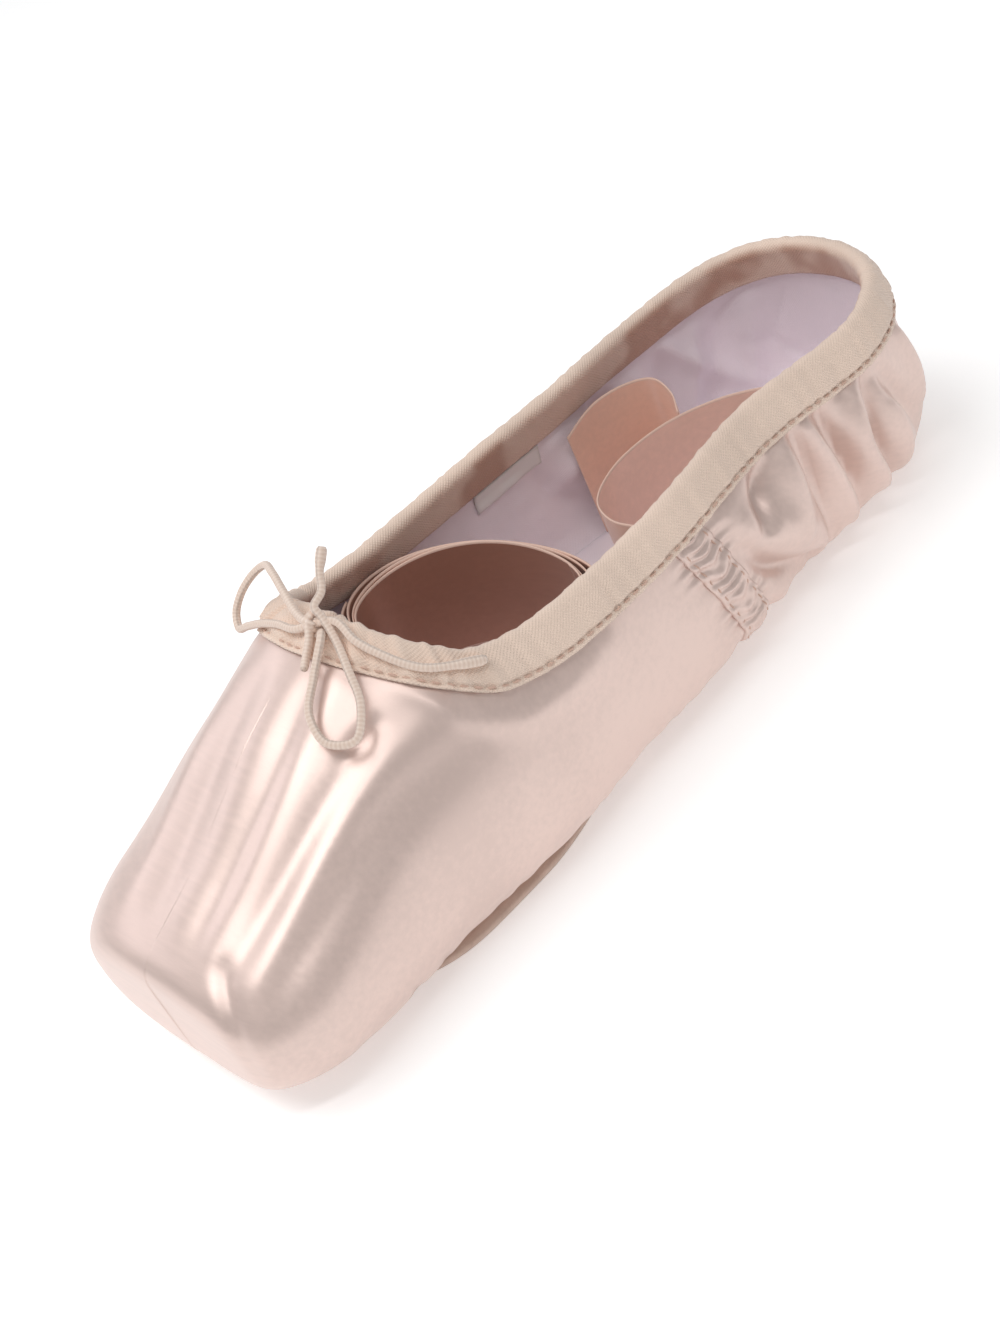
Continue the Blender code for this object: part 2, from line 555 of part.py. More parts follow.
def make_shoe():
    """Put the whole shoe together."""
    for old in list(bpy.data.objects):
        bpy.data.objects.remove(old, do_unlink=True)
    collection = bpy.data.collections.new("pointe_shoe")
    bpy.context.scene.collection.children.link(collection)
    make_outsole(collection)
    make_upper(collection)
    make_insole(collection)
    make_binding(collection)
    make_heel_strip(collection)
    make_seam_band(1, "seam_band_left", collection)
    make_seam_band(-1, "seam_band_right", collection)
    knot = knot_place()
    make_knot(knot, collection)
    make_cord("drawstring_loop_far", LOOP_FAR, knot, 30, collection)
    make_cord("drawstring_loop_near", LOOP_NEAR, knot, 36, collection)
    make_cord("drawstring_end_up", END_UP, knot, 10, collection)
    make_cord("drawstring_end_side", END_SIDE, knot, 18, collection)
    make_cord("drawstring_feed", FEED, knot, 8, collection)
    make_ribbons(collection)


make_shoe()
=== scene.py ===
# %% [markdown]
# # A satin pointe shoe
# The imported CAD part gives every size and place. This script dresses it: satin with its folds, a taped
# collar, a drawstring bow, ribbons and a suede sole. Lengths are in metres; +X is the toe and +Z is up.

# %% Load the frame
import json
import math
from collections import namedtuple

import bpy
import numpy as np
from mathutils import Matrix, Vector

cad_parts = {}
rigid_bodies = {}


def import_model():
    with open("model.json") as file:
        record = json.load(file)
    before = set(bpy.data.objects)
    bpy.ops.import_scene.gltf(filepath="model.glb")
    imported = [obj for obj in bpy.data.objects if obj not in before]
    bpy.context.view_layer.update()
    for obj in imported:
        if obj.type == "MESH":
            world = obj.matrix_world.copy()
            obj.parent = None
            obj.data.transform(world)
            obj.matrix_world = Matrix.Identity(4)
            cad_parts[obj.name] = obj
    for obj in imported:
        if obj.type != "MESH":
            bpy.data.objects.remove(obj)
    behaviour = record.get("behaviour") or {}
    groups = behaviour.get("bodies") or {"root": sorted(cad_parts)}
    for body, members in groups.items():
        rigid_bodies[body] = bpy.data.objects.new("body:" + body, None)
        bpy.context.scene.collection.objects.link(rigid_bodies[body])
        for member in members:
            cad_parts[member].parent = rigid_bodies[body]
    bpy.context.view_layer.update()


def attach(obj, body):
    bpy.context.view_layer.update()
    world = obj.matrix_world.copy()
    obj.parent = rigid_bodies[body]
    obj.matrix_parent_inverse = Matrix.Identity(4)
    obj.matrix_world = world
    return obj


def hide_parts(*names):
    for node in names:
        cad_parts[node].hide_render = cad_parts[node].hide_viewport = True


for old in list(bpy.data.objects):
    bpy.data.objects.remove(old, do_unlink=True)
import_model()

# %% [markdown]
# ## Sizes
# A maker works from a last, the foot-shaped block that a shoe is built on. The same few sizes drive the
# solids, so they are written again here and every piece below takes its place from them.

# %% Sizes of the shoe
MM = 0.001
LENGTH, BALL_WIDTH, HEEL_WIDTH, WAIST_WIDTH = 205 * MM, 67 * MM, 57 * MM, 58 * MM
PLATFORM_WIDTH, PLATFORM_HEIGHT, VAMP_HEIGHT, VAMP_LENGTH = 59 * MM, 30 * MM, 57 * MM, 61.5 * MM
COLLAR_HEEL_HEIGHT, COLLAR_SIDE_HEIGHT, TOE_SPRING, ARCH_RISE = 41.5 * MM, 42 * MM, 2.4 * MM, 2 * MM
GAP, WALL, BOX_WALL, BOX_LENGTH = 0.3 * MM, 1.6 * MM, 2.6 * MM, 68 * MM
SOLE_THICKNESS, SOLE_LAP, INSOLE_SEAT_GAP, INSOLE_THICKNESS = 2 * MM, 5 * MM, 0.5 * MM, 2.2 * MM
BINDING_DROP, BINDING_INNER_DROP, TAPE, BAND_THICKNESS = 7 * MM, 6 * MM, 0.8 * MM, 0.6 * MM
SEAM_WIDTH, SEAM_FROM_HEEL, SEAM_SLANT, HEEL_STRIP_WIDTH = 8.5 * MM, 79 * MM, 0.30, 15 * MM
SOLE_HEEL_INSET, SOLE_TOE_INSET, SOLE_HEEL_ROUNDING, SOLE_TOE_ROUNDING = 20 * MM, 27 * MM, 15 * MM, 26 * MM
SOLE_HEEL_WIDTH, SOLE_WAIST_WIDTH, SOLE_BALL_WIDTH = 34 * MM, 31 * MM, 53 * MM
HEEL_PIVOT, THROAT_TO_PIVOT, HEEL_ROUNDNESS, TOE_SQUARENESS = 31 * MM, 16 * MM, 2.3, 11.0
CORE_HEIGHT, FLOOR_SOFTNESS, CORD = 20 * MM, 0.8 * MM, 1.5 * MM
RIBBON_WIDTH, KNOT_HEIGHT, KNOT_AHEAD, KNOT_ASIDE = 25 * MM, 3.4 * MM, 1.2 * MM, 3.5 * MM

HEEL_X = -LENGTH / 2 + GAP + BAND_THICKNESS
TOE_X = LENGTH / 2
LAST_LENGTH = TOE_X - HEEL_X
HEEL_PIVOT_X = HEEL_X + HEEL_PIVOT
THROAT_X = TOE_X - VAMP_LENGTH
TOE_PIVOT_X = THROAT_X - THROAT_TO_PIVOT
FLOOR_OF_UPPER = SOLE_THICKNESS + GAP
INSOLE_TOP = FLOOR_OF_UPPER + WALL + INSOLE_SEAT_GAP + INSOLE_THICKNESS
THROAT = (THROAT_X - HEEL_X) / LAST_LENGTH

Section = namedtuple("Section", "along width widest top under over")
SECTIONS = (
    Section(0.00, 0.98 * HEEL_WIDTH, 0.42 * COLLAR_HEEL_HEIGHT, 1.60 * COLLAR_HEEL_HEIGHT, 2.9, 2.2),
    Section(0.14, 1.00 * HEEL_WIDTH, 0.40 * COLLAR_HEEL_HEIGHT, 1.60 * COLLAR_HEEL_HEIGHT, 3.0, 2.2),
    Section(0.28, 0.99 * WAIST_WIDTH, 0.38 * COLLAR_HEEL_HEIGHT, 1.52 * COLLAR_HEEL_HEIGHT, 3.0, 2.1),
    Section(0.42, 1.07 * WAIST_WIDTH, 0.36 * COLLAR_HEEL_HEIGHT, 1.20 * VAMP_HEIGHT, 3.0, 2.0),
    Section(0.56, 0.97 * BALL_WIDTH, 0.32 * VAMP_HEIGHT, 1.10 * VAMP_HEIGHT, 3.1, 2.0),
    Section(0.68, 1.00 * BALL_WIDTH, 0.33 * VAMP_HEIGHT, 1.03 * VAMP_HEIGHT, 3.1, 2.1),
    Section(0.80, 0.95 * BALL_WIDTH, 0.32 * VAMP_HEIGHT, 0.87 * VAMP_HEIGHT, 3.0, 2.2),
    Section(0.92, 1.12 * PLATFORM_WIDTH, 0.56 * PLATFORM_HEIGHT, 1.20 * PLATFORM_HEIGHT, 2.8, 2.3),
    Section(1.00, 1.00 * PLATFORM_WIDTH, 0.54 * PLATFORM_HEIGHT, 1.00 * PLATFORM_HEIGHT, 2.7, 2.4),
)
Height = namedtuple("Height", "along height")
LIFTS = (
    Height(0.00, 0.0), Height(0.18, 0.0), Height(0.30, 0.6 * ARCH_RISE), Height(0.42, 1.0 * ARCH_RISE),
    Height(0.54, 0.4 * ARCH_RISE), Height(0.61, 0.0), Height(0.76, 0.0), Height(0.88, 0.3 * TOE_SPRING),
    Height(1.00, 1.0 * TOE_SPRING),
)
COLLARS = (
    Height(-0.10, 1.02 * COLLAR_HEEL_HEIGHT), Height(0.00, 1.00 * COLLAR_HEEL_HEIGHT),
    Height(0.12, 0.97 * COLLAR_HEEL_HEIGHT), Height(0.28, 1.01 * COLLAR_SIDE_HEIGHT),
    Height(0.44, 1.00 * COLLAR_SIDE_HEIGHT), Height(THROAT - 0.14, 1.02 * COLLAR_SIDE_HEIGHT),
    Height(THROAT - 0.06, 0.81 * VAMP_HEIGHT), Height(THROAT - 0.02, 0.92 * VAMP_HEIGHT),
    Height(THROAT, 1.00 * VAMP_HEIGHT), Height(THROAT + 0.05, 1.30 * VAMP_HEIGHT),
)
Width = namedtuple("Width", "along width")
SOLE_ROWS = (
    Width(0.00, 1.00 * SOLE_HEEL_WIDTH), Width(0.14, 1.00 * SOLE_HEEL_WIDTH),
    Width(0.38, 1.00 * SOLE_WAIST_WIDTH), Width(0.56, 0.76 * SOLE_BALL_WIDTH),
    Width(0.76, 1.00 * SOLE_BALL_WIDTH), Width(1.00, 0.96 * SOLE_BALL_WIDTH),
)

# %% [markdown]
# ## The last as a function
# A smooth form can be kept as a rule instead of a mesh: here a function says how far a point lies outside
# the last. Rays shot from inside find its surface at any fineness, so the satin, the tape and the seams
# all come from one shape and lie on each other with no fitting.

# %% The last as a function


def glide(rows, values, at):
    """Read a table smoothly: a cubic through its rows that never overshoots them."""
    x, y = np.asarray(rows, float), np.asarray(values, float)
    at = np.clip(at, x[0], x[-1])
    step, rise = np.diff(x), np.diff(y) / np.diff(x)
    slope = np.zeros_like(y)
    slope[0], slope[-1] = rise[0], rise[-1]
    same = rise[:-1] * rise[1:] > 0
    left, right = 2 * step[1:] + step[:-1], step[1:] + 2 * step[:-1]
    safe = np.where(same, rise[:-1] * rise[1:], 1.0)
    slope[1:-1] = np.where(same, (left + right) * safe / (left * rise[1:] + right * rise[:-1] + (~same)), 0.0)
    i = np.clip(np.searchsorted(x, at, side="right") - 1, 0, len(step) - 1)
    t = (at - x[i]) / step[i]
    return (y[i] * (1 + 2 * t) * (1 - t) ** 2 + slope[i] * step[i] * t * (1 - t) ** 2
            + y[i + 1] * t * t * (3 - 2 * t) + slope[i + 1] * step[i] * t * t * (t - 1))


def table(rows, column, at):
    """One column of a table of named rows, read at a place along it."""
    return glide([row.along for row in rows], [getattr(row, column) for row in rows], at)


def ease(low, high, value):
    """Nought below low and one above high, with a soft change between."""
    t = np.clip((value - low) / (high - low), 0, 1)
    return t * t * (3 - 2 * t)


def lift(x):
    """Height of the shoe's bottom line off the floor."""
    return table(LIFTS, "height", (x - HEEL_X) / LAST_LENGTH)


def collar(x):
    """Height of the upper's edge, seen from the side."""
    return table(COLLARS, "height", (x - HEEL_X) / LAST_LENGTH)


def outside(p):
    """About how far points lie outside the shoe's outer face; less than nought within it."""
    x, y, z = p[..., 0], p[..., 1], p[..., 2]
    along = (x - HEEL_X) / LAST_LENGTH
    base, half, widest = lift(x), table(SECTIONS, "width", along) / 2, table(SECTIONS, "widest", along)
    over = z > widest
    height = np.where(over, table(SECTIONS, "top", along) - widest, widest - base)
    power = np.where(over, table(SECTIONS, "over", along), table(SECTIONS, "under", along))
    ring = ((np.abs(y) / half) ** power + (np.abs(z - widest) / height) ** power) ** (1 / power)
    toeward = np.clip((x - TOE_PIVOT_X) / (TOE_X - TOE_PIVOT_X), 0, None)
    heelward = np.clip((HEEL_PIVOT_X - x) / HEEL_PIVOT, 0, None)
    square = np.where(toeward > 0, TOE_SQUARENESS, HEEL_ROUNDNESS)
    last = ((ring ** square + (toeward + heelward) ** square) ** (1 / square) - 1) * CORE_HEIGHT
    floor = base + FLOOR_OF_UPPER - z
    return (last + floor + np.sqrt((last - floor) ** 2 + FLOOR_SOFTNESS ** 2)) / 2


def normals(p):
    """Directions straight out of the shoe's outer face at points on it."""
    step = 0.05 * MM
    slopes = [outside(p + step * axis) - outside(p - step * axis) for axis in np.eye(3)]
    n = np.stack(slopes, axis=-1)
    return n / np.linalg.norm(n, axis=-1, keepdims=True)


def strike(start, directions):
    """Points where rays from inside the shoe meet its outer face."""
    near, far = np.zeros(len(directions)), np.full(len(directions), 0.2)
    for _ in range(26):
        middle = (near + far) / 2
        inside = outside(start + middle[:, None] * directions) < 0
        near, far = np.where(inside, middle, near), np.where(inside, far, middle)
    return start + near[:, None] * directions


def measured(line):
    """Distance along a line of points, from its first."""
    return np.concatenate([[0.0], np.cumsum(np.linalg.norm(np.diff(line, axis=0), axis=1))])


def along_line(line, distances):
    """Points at the given distances along a line of points."""
    run = measured(line)
    return np.stack([np.interp(distances, run, line[:, axis]) for axis in range(3)], axis=-1)


def sole_half(x, inset=0.0):
    """Half width of the outsole's outline, drawn in by an inset all round."""
    heel, toe = HEEL_X + SOLE_HEEL_INSET + inset, TOE_X - SOLE_TOE_INSET - inset
    share = np.clip((x - heel) / (toe - heel), 0, 1)
    half = table(SOLE_ROWS, "width", share) / 2 - inset
    back = np.clip(1 - (x - heel) / SOLE_HEEL_ROUNDING, 0, 1)
    front = np.clip(1 - (toe - x) / SOLE_TOE_ROUNDING, 0, 1)
    return half * np.sqrt(1 - back ** 2) * (1 - front ** 2.6) ** (1 / 2.6)


def rib_plane(u):
    """Start and heading of the rib at u, from nought at the heel's back to one at the toe's tip."""
    if u < 0.2:
        return HEEL_PIVOT_X, math.radians(180 - 90 * u / 0.2)
    if u < 0.55:
        return HEEL_PIVOT_X + (TOE_PIVOT_X - HEEL_PIVOT_X) * (u - 0.2) / 0.35, math.radians(90)
    return TOE_PIVOT_X, math.radians(90) * ((1 - u) / 0.45) ** 1.4


def trim_to_opening(line, start, flat):
    """Cut a rib off at the edge of the opening that the outsole closes."""
    reach = (line - start) @ flat
    near, far = 0.0, 0.2
    heel, toe = HEEL_X + SOLE_HEEL_INSET + SOLE_LAP, TOE_X - SOLE_TOE_INSET - SOLE_LAP
    for _ in range(24):
        middle = (near + far) / 2
        x, y = start[0] + middle * flat[0], abs(middle * flat[1])
        within = heel < x < toe and y < sole_half(x, SOLE_LAP)
        near, far = (middle, far) if within else (near, middle)
    first = int(np.argmax(reach > near))
    share = (near - reach[first - 1]) / (reach[first] - reach[first - 1])
    return np.vstack([line[first - 1] + share * (line[first] - line[first - 1]), line[first:]])


def trim_to_collar(line):
    """Cut a rib off at the collar's height."""
    over = line[:, 2] - collar(line[:, 0])
    last = int(np.argmax(over > 0))
    share = -over[last - 1] / (over[last] - over[last - 1])
    return np.vstack([line[:last], line[last - 1] + share * (line[last] - line[last - 1])])


def fan(flat, up=(0.0, 0.0, 1.0)):
    """Directions of a fan of rays at the pitches in use, from below to above."""
    return np.cos(pitch) * np.array(flat) + np.sin(pitch) * np.array(up)


def bunched(first, last, count):
    """Shares from about nought to one, closer together at both ends."""
    return (1 - np.cos(np.linspace(first, last, count) * math.pi)) / 2


RIBS_A_SIDE = 270
PITCHES = 221
pitch = np.radians(np.linspace(-89.9, 89.0, PITCHES))[:, None]
planes = [rib_plane(u) for u in np.linspace(0, 1, RIBS_A_SIDE + 1)]
starts = np.array([[x0, 0.0, CORE_HEIGHT] for x0, heading in planes])
flats = np.array([[math.cos(heading), math.sin(heading), 0.0] for x0, heading in planes])
struck = strike(np.repeat(starts, PITCHES, axis=0), np.concatenate([fan(flat) for flat in flats]))
left_ribs = [trim_to_collar(trim_to_opening(line, start, flat))
             for line, start, flat in zip(struck.reshape(-1, PITCHES, 3), starts, flats)]
ribs = left_ribs + [line * [1, -1, 1] for line in left_ribs[-2:0:-1]]
COLLAR_LINE = np.array([line[-1] for line in ribs])
print("ribs round the shoe:", len(ribs), "longest in mm:", round(max(measured(r)[-1] for r in ribs) * 1000, 1))

# %% [markdown]
# ## Shader maths as plain Python
# A material is a graph of nodes. Wrapping a socket in a small class lets a mask be written as an
# expression, such as `0.25 + patches * 0.6`, and each operator quietly adds its Math node.

# %% Shader helpers


class Wire:
    """A socket that carries a number, so that sums on it read as Python."""

    def __init__(self, finish, socket):
        self.finish, self.socket = finish, socket

    def maths(self, operation, *terms):
        return self.finish.add("ShaderNodeMath", {"operation": operation}, dict(enumerate(terms)))

    def __add__(self, other):
        return self.maths("ADD", self, other)

    def __sub__(self, other):
        return self.maths("SUBTRACT", self, other)

    def __mul__(self, other):
        return self.maths("MULTIPLY", self, other)

    __radd__, __rmul__ = __add__, __mul__

    def wave(self):
        return self.maths("SINE", self)

    def soft(self, low, high):
        """Nought to one between low and high, eased."""
        return self.finish.add("ShaderNodeMapRange", {"interpolation_type": "SMOOTHSTEP"},
                               {"Value": self, "From Min": low, "From Max": high})


class Finish:
    """One material: a Principled shader, its fixed numbers, and a way to add any node."""

    def __init__(self, name, colour, **numbers):
        self.material = bpy.data.materials.new(name)
        self.material.use_nodes = True
        self.tree = self.material.node_tree
        self.shader = self.tree.nodes["Principled BSDF"]
        self.shader.inputs["Base Color"].default_value = (*colour, 1.0)
        for socket, number in numbers.items():
            self.shader.inputs[socket.replace("_", " ")].default_value = number

    def plug(self, socket, value):
        if isinstance(value, Wire):
            self.tree.links.new(value.socket, socket)
        elif hasattr(value, "__len__") and len(value) == 3 and socket.type == "RGBA":
            socket.default_value = (*value, 1.0)
        else:
            socket.default_value = value

    def add(self, kind, settings=None, inputs=None, out=0):
        node = self.tree.nodes.new(kind)
        for name, value in (settings or {}).items():
            setattr(node, name, value)
        for socket, value in (inputs or {}).items():
            self.plug(node.inputs[socket], value)
        return Wire(self, node.outputs[out])

    def place(self):
        return self.add("ShaderNodeTexCoord", out="Object")

    def cloth(self):
        """The two distances of the cloth's own chart, in millimetres."""
        chart = self.add("ShaderNodeUVMap", {"uv_map": "chart"})
        split = [self.add("ShaderNodeSeparateXYZ", inputs={0: chart}, out=i) for i in (0, 1)]
        return split[0] * 1000.0, split[1] * 1000.0

    def noise(self, scale, detail=2.0, stretch=(1.0, 1.0, 1.0)):
        place = self.add("ShaderNodeVectorMath", {"operation": "MULTIPLY"}, {0: self.place(), 1: stretch})
        return self.add("ShaderNodeTexNoise", {}, {"Vector": place, "Scale": scale, "Detail": detail})

    def mix(self, mask, first, second):
        return self.add("ShaderNodeMix", {"data_type": "RGBA"}, {0: mask, 6: first, 7: second}, out=2)

    def set(self, socket, value):
        self.plug(self.shader.inputs[socket], value)

    def bump(self, height, distance, strength=1.0):
        self.set("Normal", self.add("ShaderNodeBump", {}, {"Height": height, "Distance": distance,
                                                           "Strength": strength}))


# %% [markdown]
# ## Mesh helpers
# Every piece below is a grid wrapped into a tube: rings of points, joined face by face. One builder makes
# the mesh, charts it in metres for its cloth pattern, smooths it and hangs it on the part's body.

# %% Mesh helpers


def piece(name, points, faces, finishes, slots=None, chart=None, smooth=True, stands_for=()):
    """A closed mesh from points and faces, with its materials and its chart."""
    mesh = bpy.data.meshes.new(name)
    mesh.from_pydata(np.asarray(points).tolist(), [], faces)
    for finish in finishes:
        mesh.materials.append(finish.material)
    if slots is not None:
        mesh.polygons.foreach_set("material_index", slots)
    mesh.polygons.foreach_set("use_smooth", [smooth] * len(mesh.polygons))
    if chart is not None:
        layer = mesh.uv_layers.new(name="chart")
        layer.data.foreach_set("uv", np.asarray(chart, np.float32).ravel())
    mesh.validate()
    body = bpy.data.objects.new(name, mesh)
    bpy.context.scene.collection.objects.link(body)
    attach(body, "root")
    if stands_for:
        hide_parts(*stands_for)
    return body


def tube_faces(count, size, closed):
    """Quads of a tube of rings, closed round, and closed along too if asked."""
    faces, spots = [], []
    for i in range(count if closed else count - 1):
        for j in range(size):
            faces.append((i * size + j, i * size + (j + 1) % size,
                          (i + 1) % count * size + (j + 1) % size, (i + 1) % count * size + j))
            spots.append(((i, j), (i, j + 1), (i + 1, j + 1), (i + 1, j)))
    return faces, spots


def outward(rings):
    """Whether the quads of these rings face out, from the sign of the volume that they close."""
    count, size = len(rings), len(rings[0])
    p = np.array(rings)
    a, b = p, np.roll(p, -1, axis=1)
    c, d = np.roll(b, -1, axis=0), np.roll(p, -1, axis=0)
    volume = (np.cross(a, b) * c).sum() + (np.cross(a, c) * d).sum()
    return volume > 0


def tube(name, rings, finishes, closed, run=None, turn=None, slot_of=None, stands_for=()):
    """A piece from rings of points; run and turn are its chart's distances along and round it."""
    count, size = len(rings), len(rings[0])
    if not outward(rings):
        rings = [ring[::-1] for ring in rings]
        turn = None if turn is None else np.asarray(turn)[..., ::-1]
        if slot_of is not None:
            slot_of = slot_of[:-1][::-1] + slot_of[-1:]
    faces, spots = tube_faces(count, size, closed)
    chart = None
    if run is not None:
        run = np.asarray(run)
        turns = np.broadcast_to(np.asarray(turn), (count, size))
        turns = np.hstack([turns, turns[:, :1]])
        turns = np.vstack([turns, turns[:1]])
        chart = [(run[i], turns[i, j]) for spot in spots for i, j in spot]
    slots = None if slot_of is None else [slot_of[spot[0][1]] for spot in spots]
    if not closed:
        ends = [tuple(range(size))[::-1], tuple((count - 1) * size + j for j in range(size))]
        faces += ends
        if chart is not None:
            chart += [(run[0], turns[0, j]) for j in range(size)][::-1]
            chart += [(run[count - 1], turns[count - 1, j]) for j in range(size)]
        if slots is not None:
            slots += [slot_of[0]] * 2
    return piece(name, np.concatenate(rings), faces, finishes, slots, chart, stands_for=stands_for)


# %% [markdown]
# ## How satin lies on the last
# Real satin is glued wet over a stiff box, so the toe is smooth, while the quarters are loose and fall
# into soft folds. Each main fold is listed below, where the shoe shows one, as a trough or a ridge
# between two points, and small gathers follow the seams as they do when cloth is pulled into stitches.

# %% Folds of the satin
Crease = namedtuple("Crease", "side height width points")
# Round the quarters: shares of the length from the middle of the heel, and of the side's height down
# from the collar
QUARTER_CREASES = (
    Crease(1, 3.0, 4.6, ((0.42, 0.30), (0.34, 0.65))),
    Crease(1, -3.2, 2.2, ((0.43, 0.40), (0.40, 0.60), (0.33, 0.85))),
    Crease(1, -3.2, 2.2, ((0.36, 0.20), (0.39, 0.40))),
    Crease(1, 3.6, 3.4, ((0.33, 0.20), (0.34, 0.55))),
    Crease(1, -3.2, 1.9, ((0.31, 0.20), (0.30, 0.80))),
    Crease(1, 2.4, 1.8, ((0.29, 0.20), (0.27, 0.80))),
    Crease(1, -3.8, 2.0, ((0.27, 0.20), (0.25, 0.80))),
    Crease(1, 3.6, 2.6, ((0.23, 0.20), (0.24, 0.45), (0.22, 0.75))),
    Crease(1, -3.8, 2.0, ((0.20, 0.20), (0.21, 0.50), (0.19, 0.90))),
    Crease(1, 1.8, 2.4, ((0.18, 0.45), (0.18, 0.80))),
    Crease(1, -2.8, 2.4, ((0.18, 0.25), (0.14, 0.70))),
    Crease(1, 2.4, 2.4, ((0.13, 0.20), (0.12, 0.60))),
    Crease(1, 1.8, 3.2, ((0.44, 0.65), (0.38, 0.90))),
    Crease(1, 1.2, 3.4, ((0.60, 0.25), (0.75, 0.30))),
    Crease(-1, 3.0, 2.8, ((0.13, 0.25), (0.18, 0.80))),
    Crease(-1, -3.2, 2.2, ((0.17, 0.25), (0.21, 0.80))),
    Crease(-1, 3.0, 2.6, ((0.22, 0.25), (0.24, 0.75))),
    Crease(-1, -3.2, 2.2, ((0.26, 0.25), (0.26, 0.80))),
    Crease(-1, 3.2, 3.4, ((0.31, 0.25), (0.32, 0.65))),
    Crease(-1, -3.0, 2.4, ((0.35, 0.25), (0.39, 0.50))),
    Crease(-1, 2.8, 4.0, ((0.43, 0.35), (0.35, 0.75))),
    Crease(-1, -2.4, 2.4, ((0.10, 0.25), (0.12, 0.80))),
)
# Over the vamp: shares of the length from the heel, and of half the ball's width from the middle
VAMP_CREASES = (
    Crease(0, 0.8, 2.6, ((0.70, 0.80), (0.80, 0.70), (0.95, 0.70))),
    Crease(0, -0.7, 2.4, ((0.69, 0.90), (0.80, 0.80), (0.95, 0.80))),
    Crease(0, -0.7, 2.2, ((0.76, 0.60), (0.95, 0.55))),
    Crease(0, 0.6, 2.8, ((0.74, 0.35), (0.84, 0.40), (0.95, 0.40))),
    Crease(0, -0.5, 2.6, ((0.75, 0.20), (0.84, 0.25), (0.94, 0.25))),
    Crease(0, 0.4, 4.0, ((0.77, 0.05), (0.94, 0.10))),
    Crease(0, -0.5, 3.4, ((0.76, -0.20), (0.94, -0.15))),
    Crease(0, 0.5, 3.4, ((0.76, -0.45), (0.94, -0.40))),
    Crease(0, -0.5, 1.4, ((0.74, 0.60), (0.78, 0.55))),
)
PLATFORM_CREASE = Crease(0, -1.0, 1.8, ((0.96, 0.50), (0.99, 0.70)))
# In the lining, on the same chart as the quarters: soft humps, and the sunk seams of the heel
LINING_CREASES = (
    Crease(-1, 2.2, 2.4, ((0.22, 0.15), (0.12, 0.75))),
    Crease(-1, 2.4, 4.4, ((0.38, 0.25), (0.35, 0.70))),
    Crease(-1, -1.6, 2.2, ((0.32, 0.20), (0.30, 0.70))),
    Crease(-1, 1.4, 3.4, ((0.28, 0.25), (0.27, 0.80))),
    Crease(-1, -0.6, 0.7, ((0.06, 0.25), (0.09, 0.55))),
    Crease(-1, -0.6, 0.7, ((0.09, 0.55), (0.13, 0.45))),
    Crease(-1, -0.6, 0.7, ((0.09, 0.55), (0.05, 0.75))),
    Crease(1, 1.4, 3.6, ((0.25, 0.25), (0.25, 0.80))),
    Crease(1, 1.3, 3.6, ((0.36, 0.25), (0.35, 0.80))),
)
HEEL_BEND = 0.9 * HEEL_PIVOT


def around(p):
    """Distance round the shoe from the middle of the heel, on either side."""
    turn = np.arctan2(np.abs(p[..., 1]), np.maximum(HEEL_PIVOT_X - p[..., 0], 1e-6))
    return np.where(p[..., 0] < HEEL_PIVOT_X, turn * HEEL_BEND,
                    0.5 * math.pi * HEEL_BEND + p[..., 0] - HEEL_PIVOT_X)


def line_of(crease, along, across):
    """A crease's own line in metres on its chart, as closely spaced points."""
    spots = np.array([(a * along, b * across) for a, b in crease.points])
    at = np.linspace(0, len(spots) - 1, 48)
    return np.stack([glide(range(len(spots)), spots[:, k], at) for k in (0, 1)], axis=-1)


def stroke(a, b, line, width):
    """One on a line of a flat chart, fading to nought off it and towards its ends."""
    off = np.hypot(a[:, None] - line[:, 0], b[:, None] - line[:, 1])
    share = np.argmin(off, axis=1) / (len(line) - 1)
    return np.exp(-(off.min(axis=1) / width) ** 2) * np.sqrt(np.sin(math.pi * (0.10 + 0.80 * share)))


quarter_lines = [(c, line_of(c, LENGTH, COLLAR_SIDE_HEIGHT)) for c in QUARTER_CREASES]
lining_lines = [(c, line_of(c, LENGTH, COLLAR_SIDE_HEIGHT)) for c in LINING_CREASES]
vamp_lines = [(c, line_of(c, LENGTH, BALL_WIDTH / 2)) for c in VAMP_CREASES]
platform_line = line_of(PLATFORM_CREASE, LENGTH, BALL_WIDTH / 2)


def on_sides(p, lines):
    """Height of the creases round the quarters or in the lining."""
    ring, low = around(p), collar(p[:, 0]) - p[:, 2]
    height = np.zeros(len(p))
    for crease, line in lines:
        height += crease.height * MM * stroke(ring, low, line, crease.width * MM) * ease(
            -2 * MM, 2 * MM, p[:, 1] * crease.side)
    return height


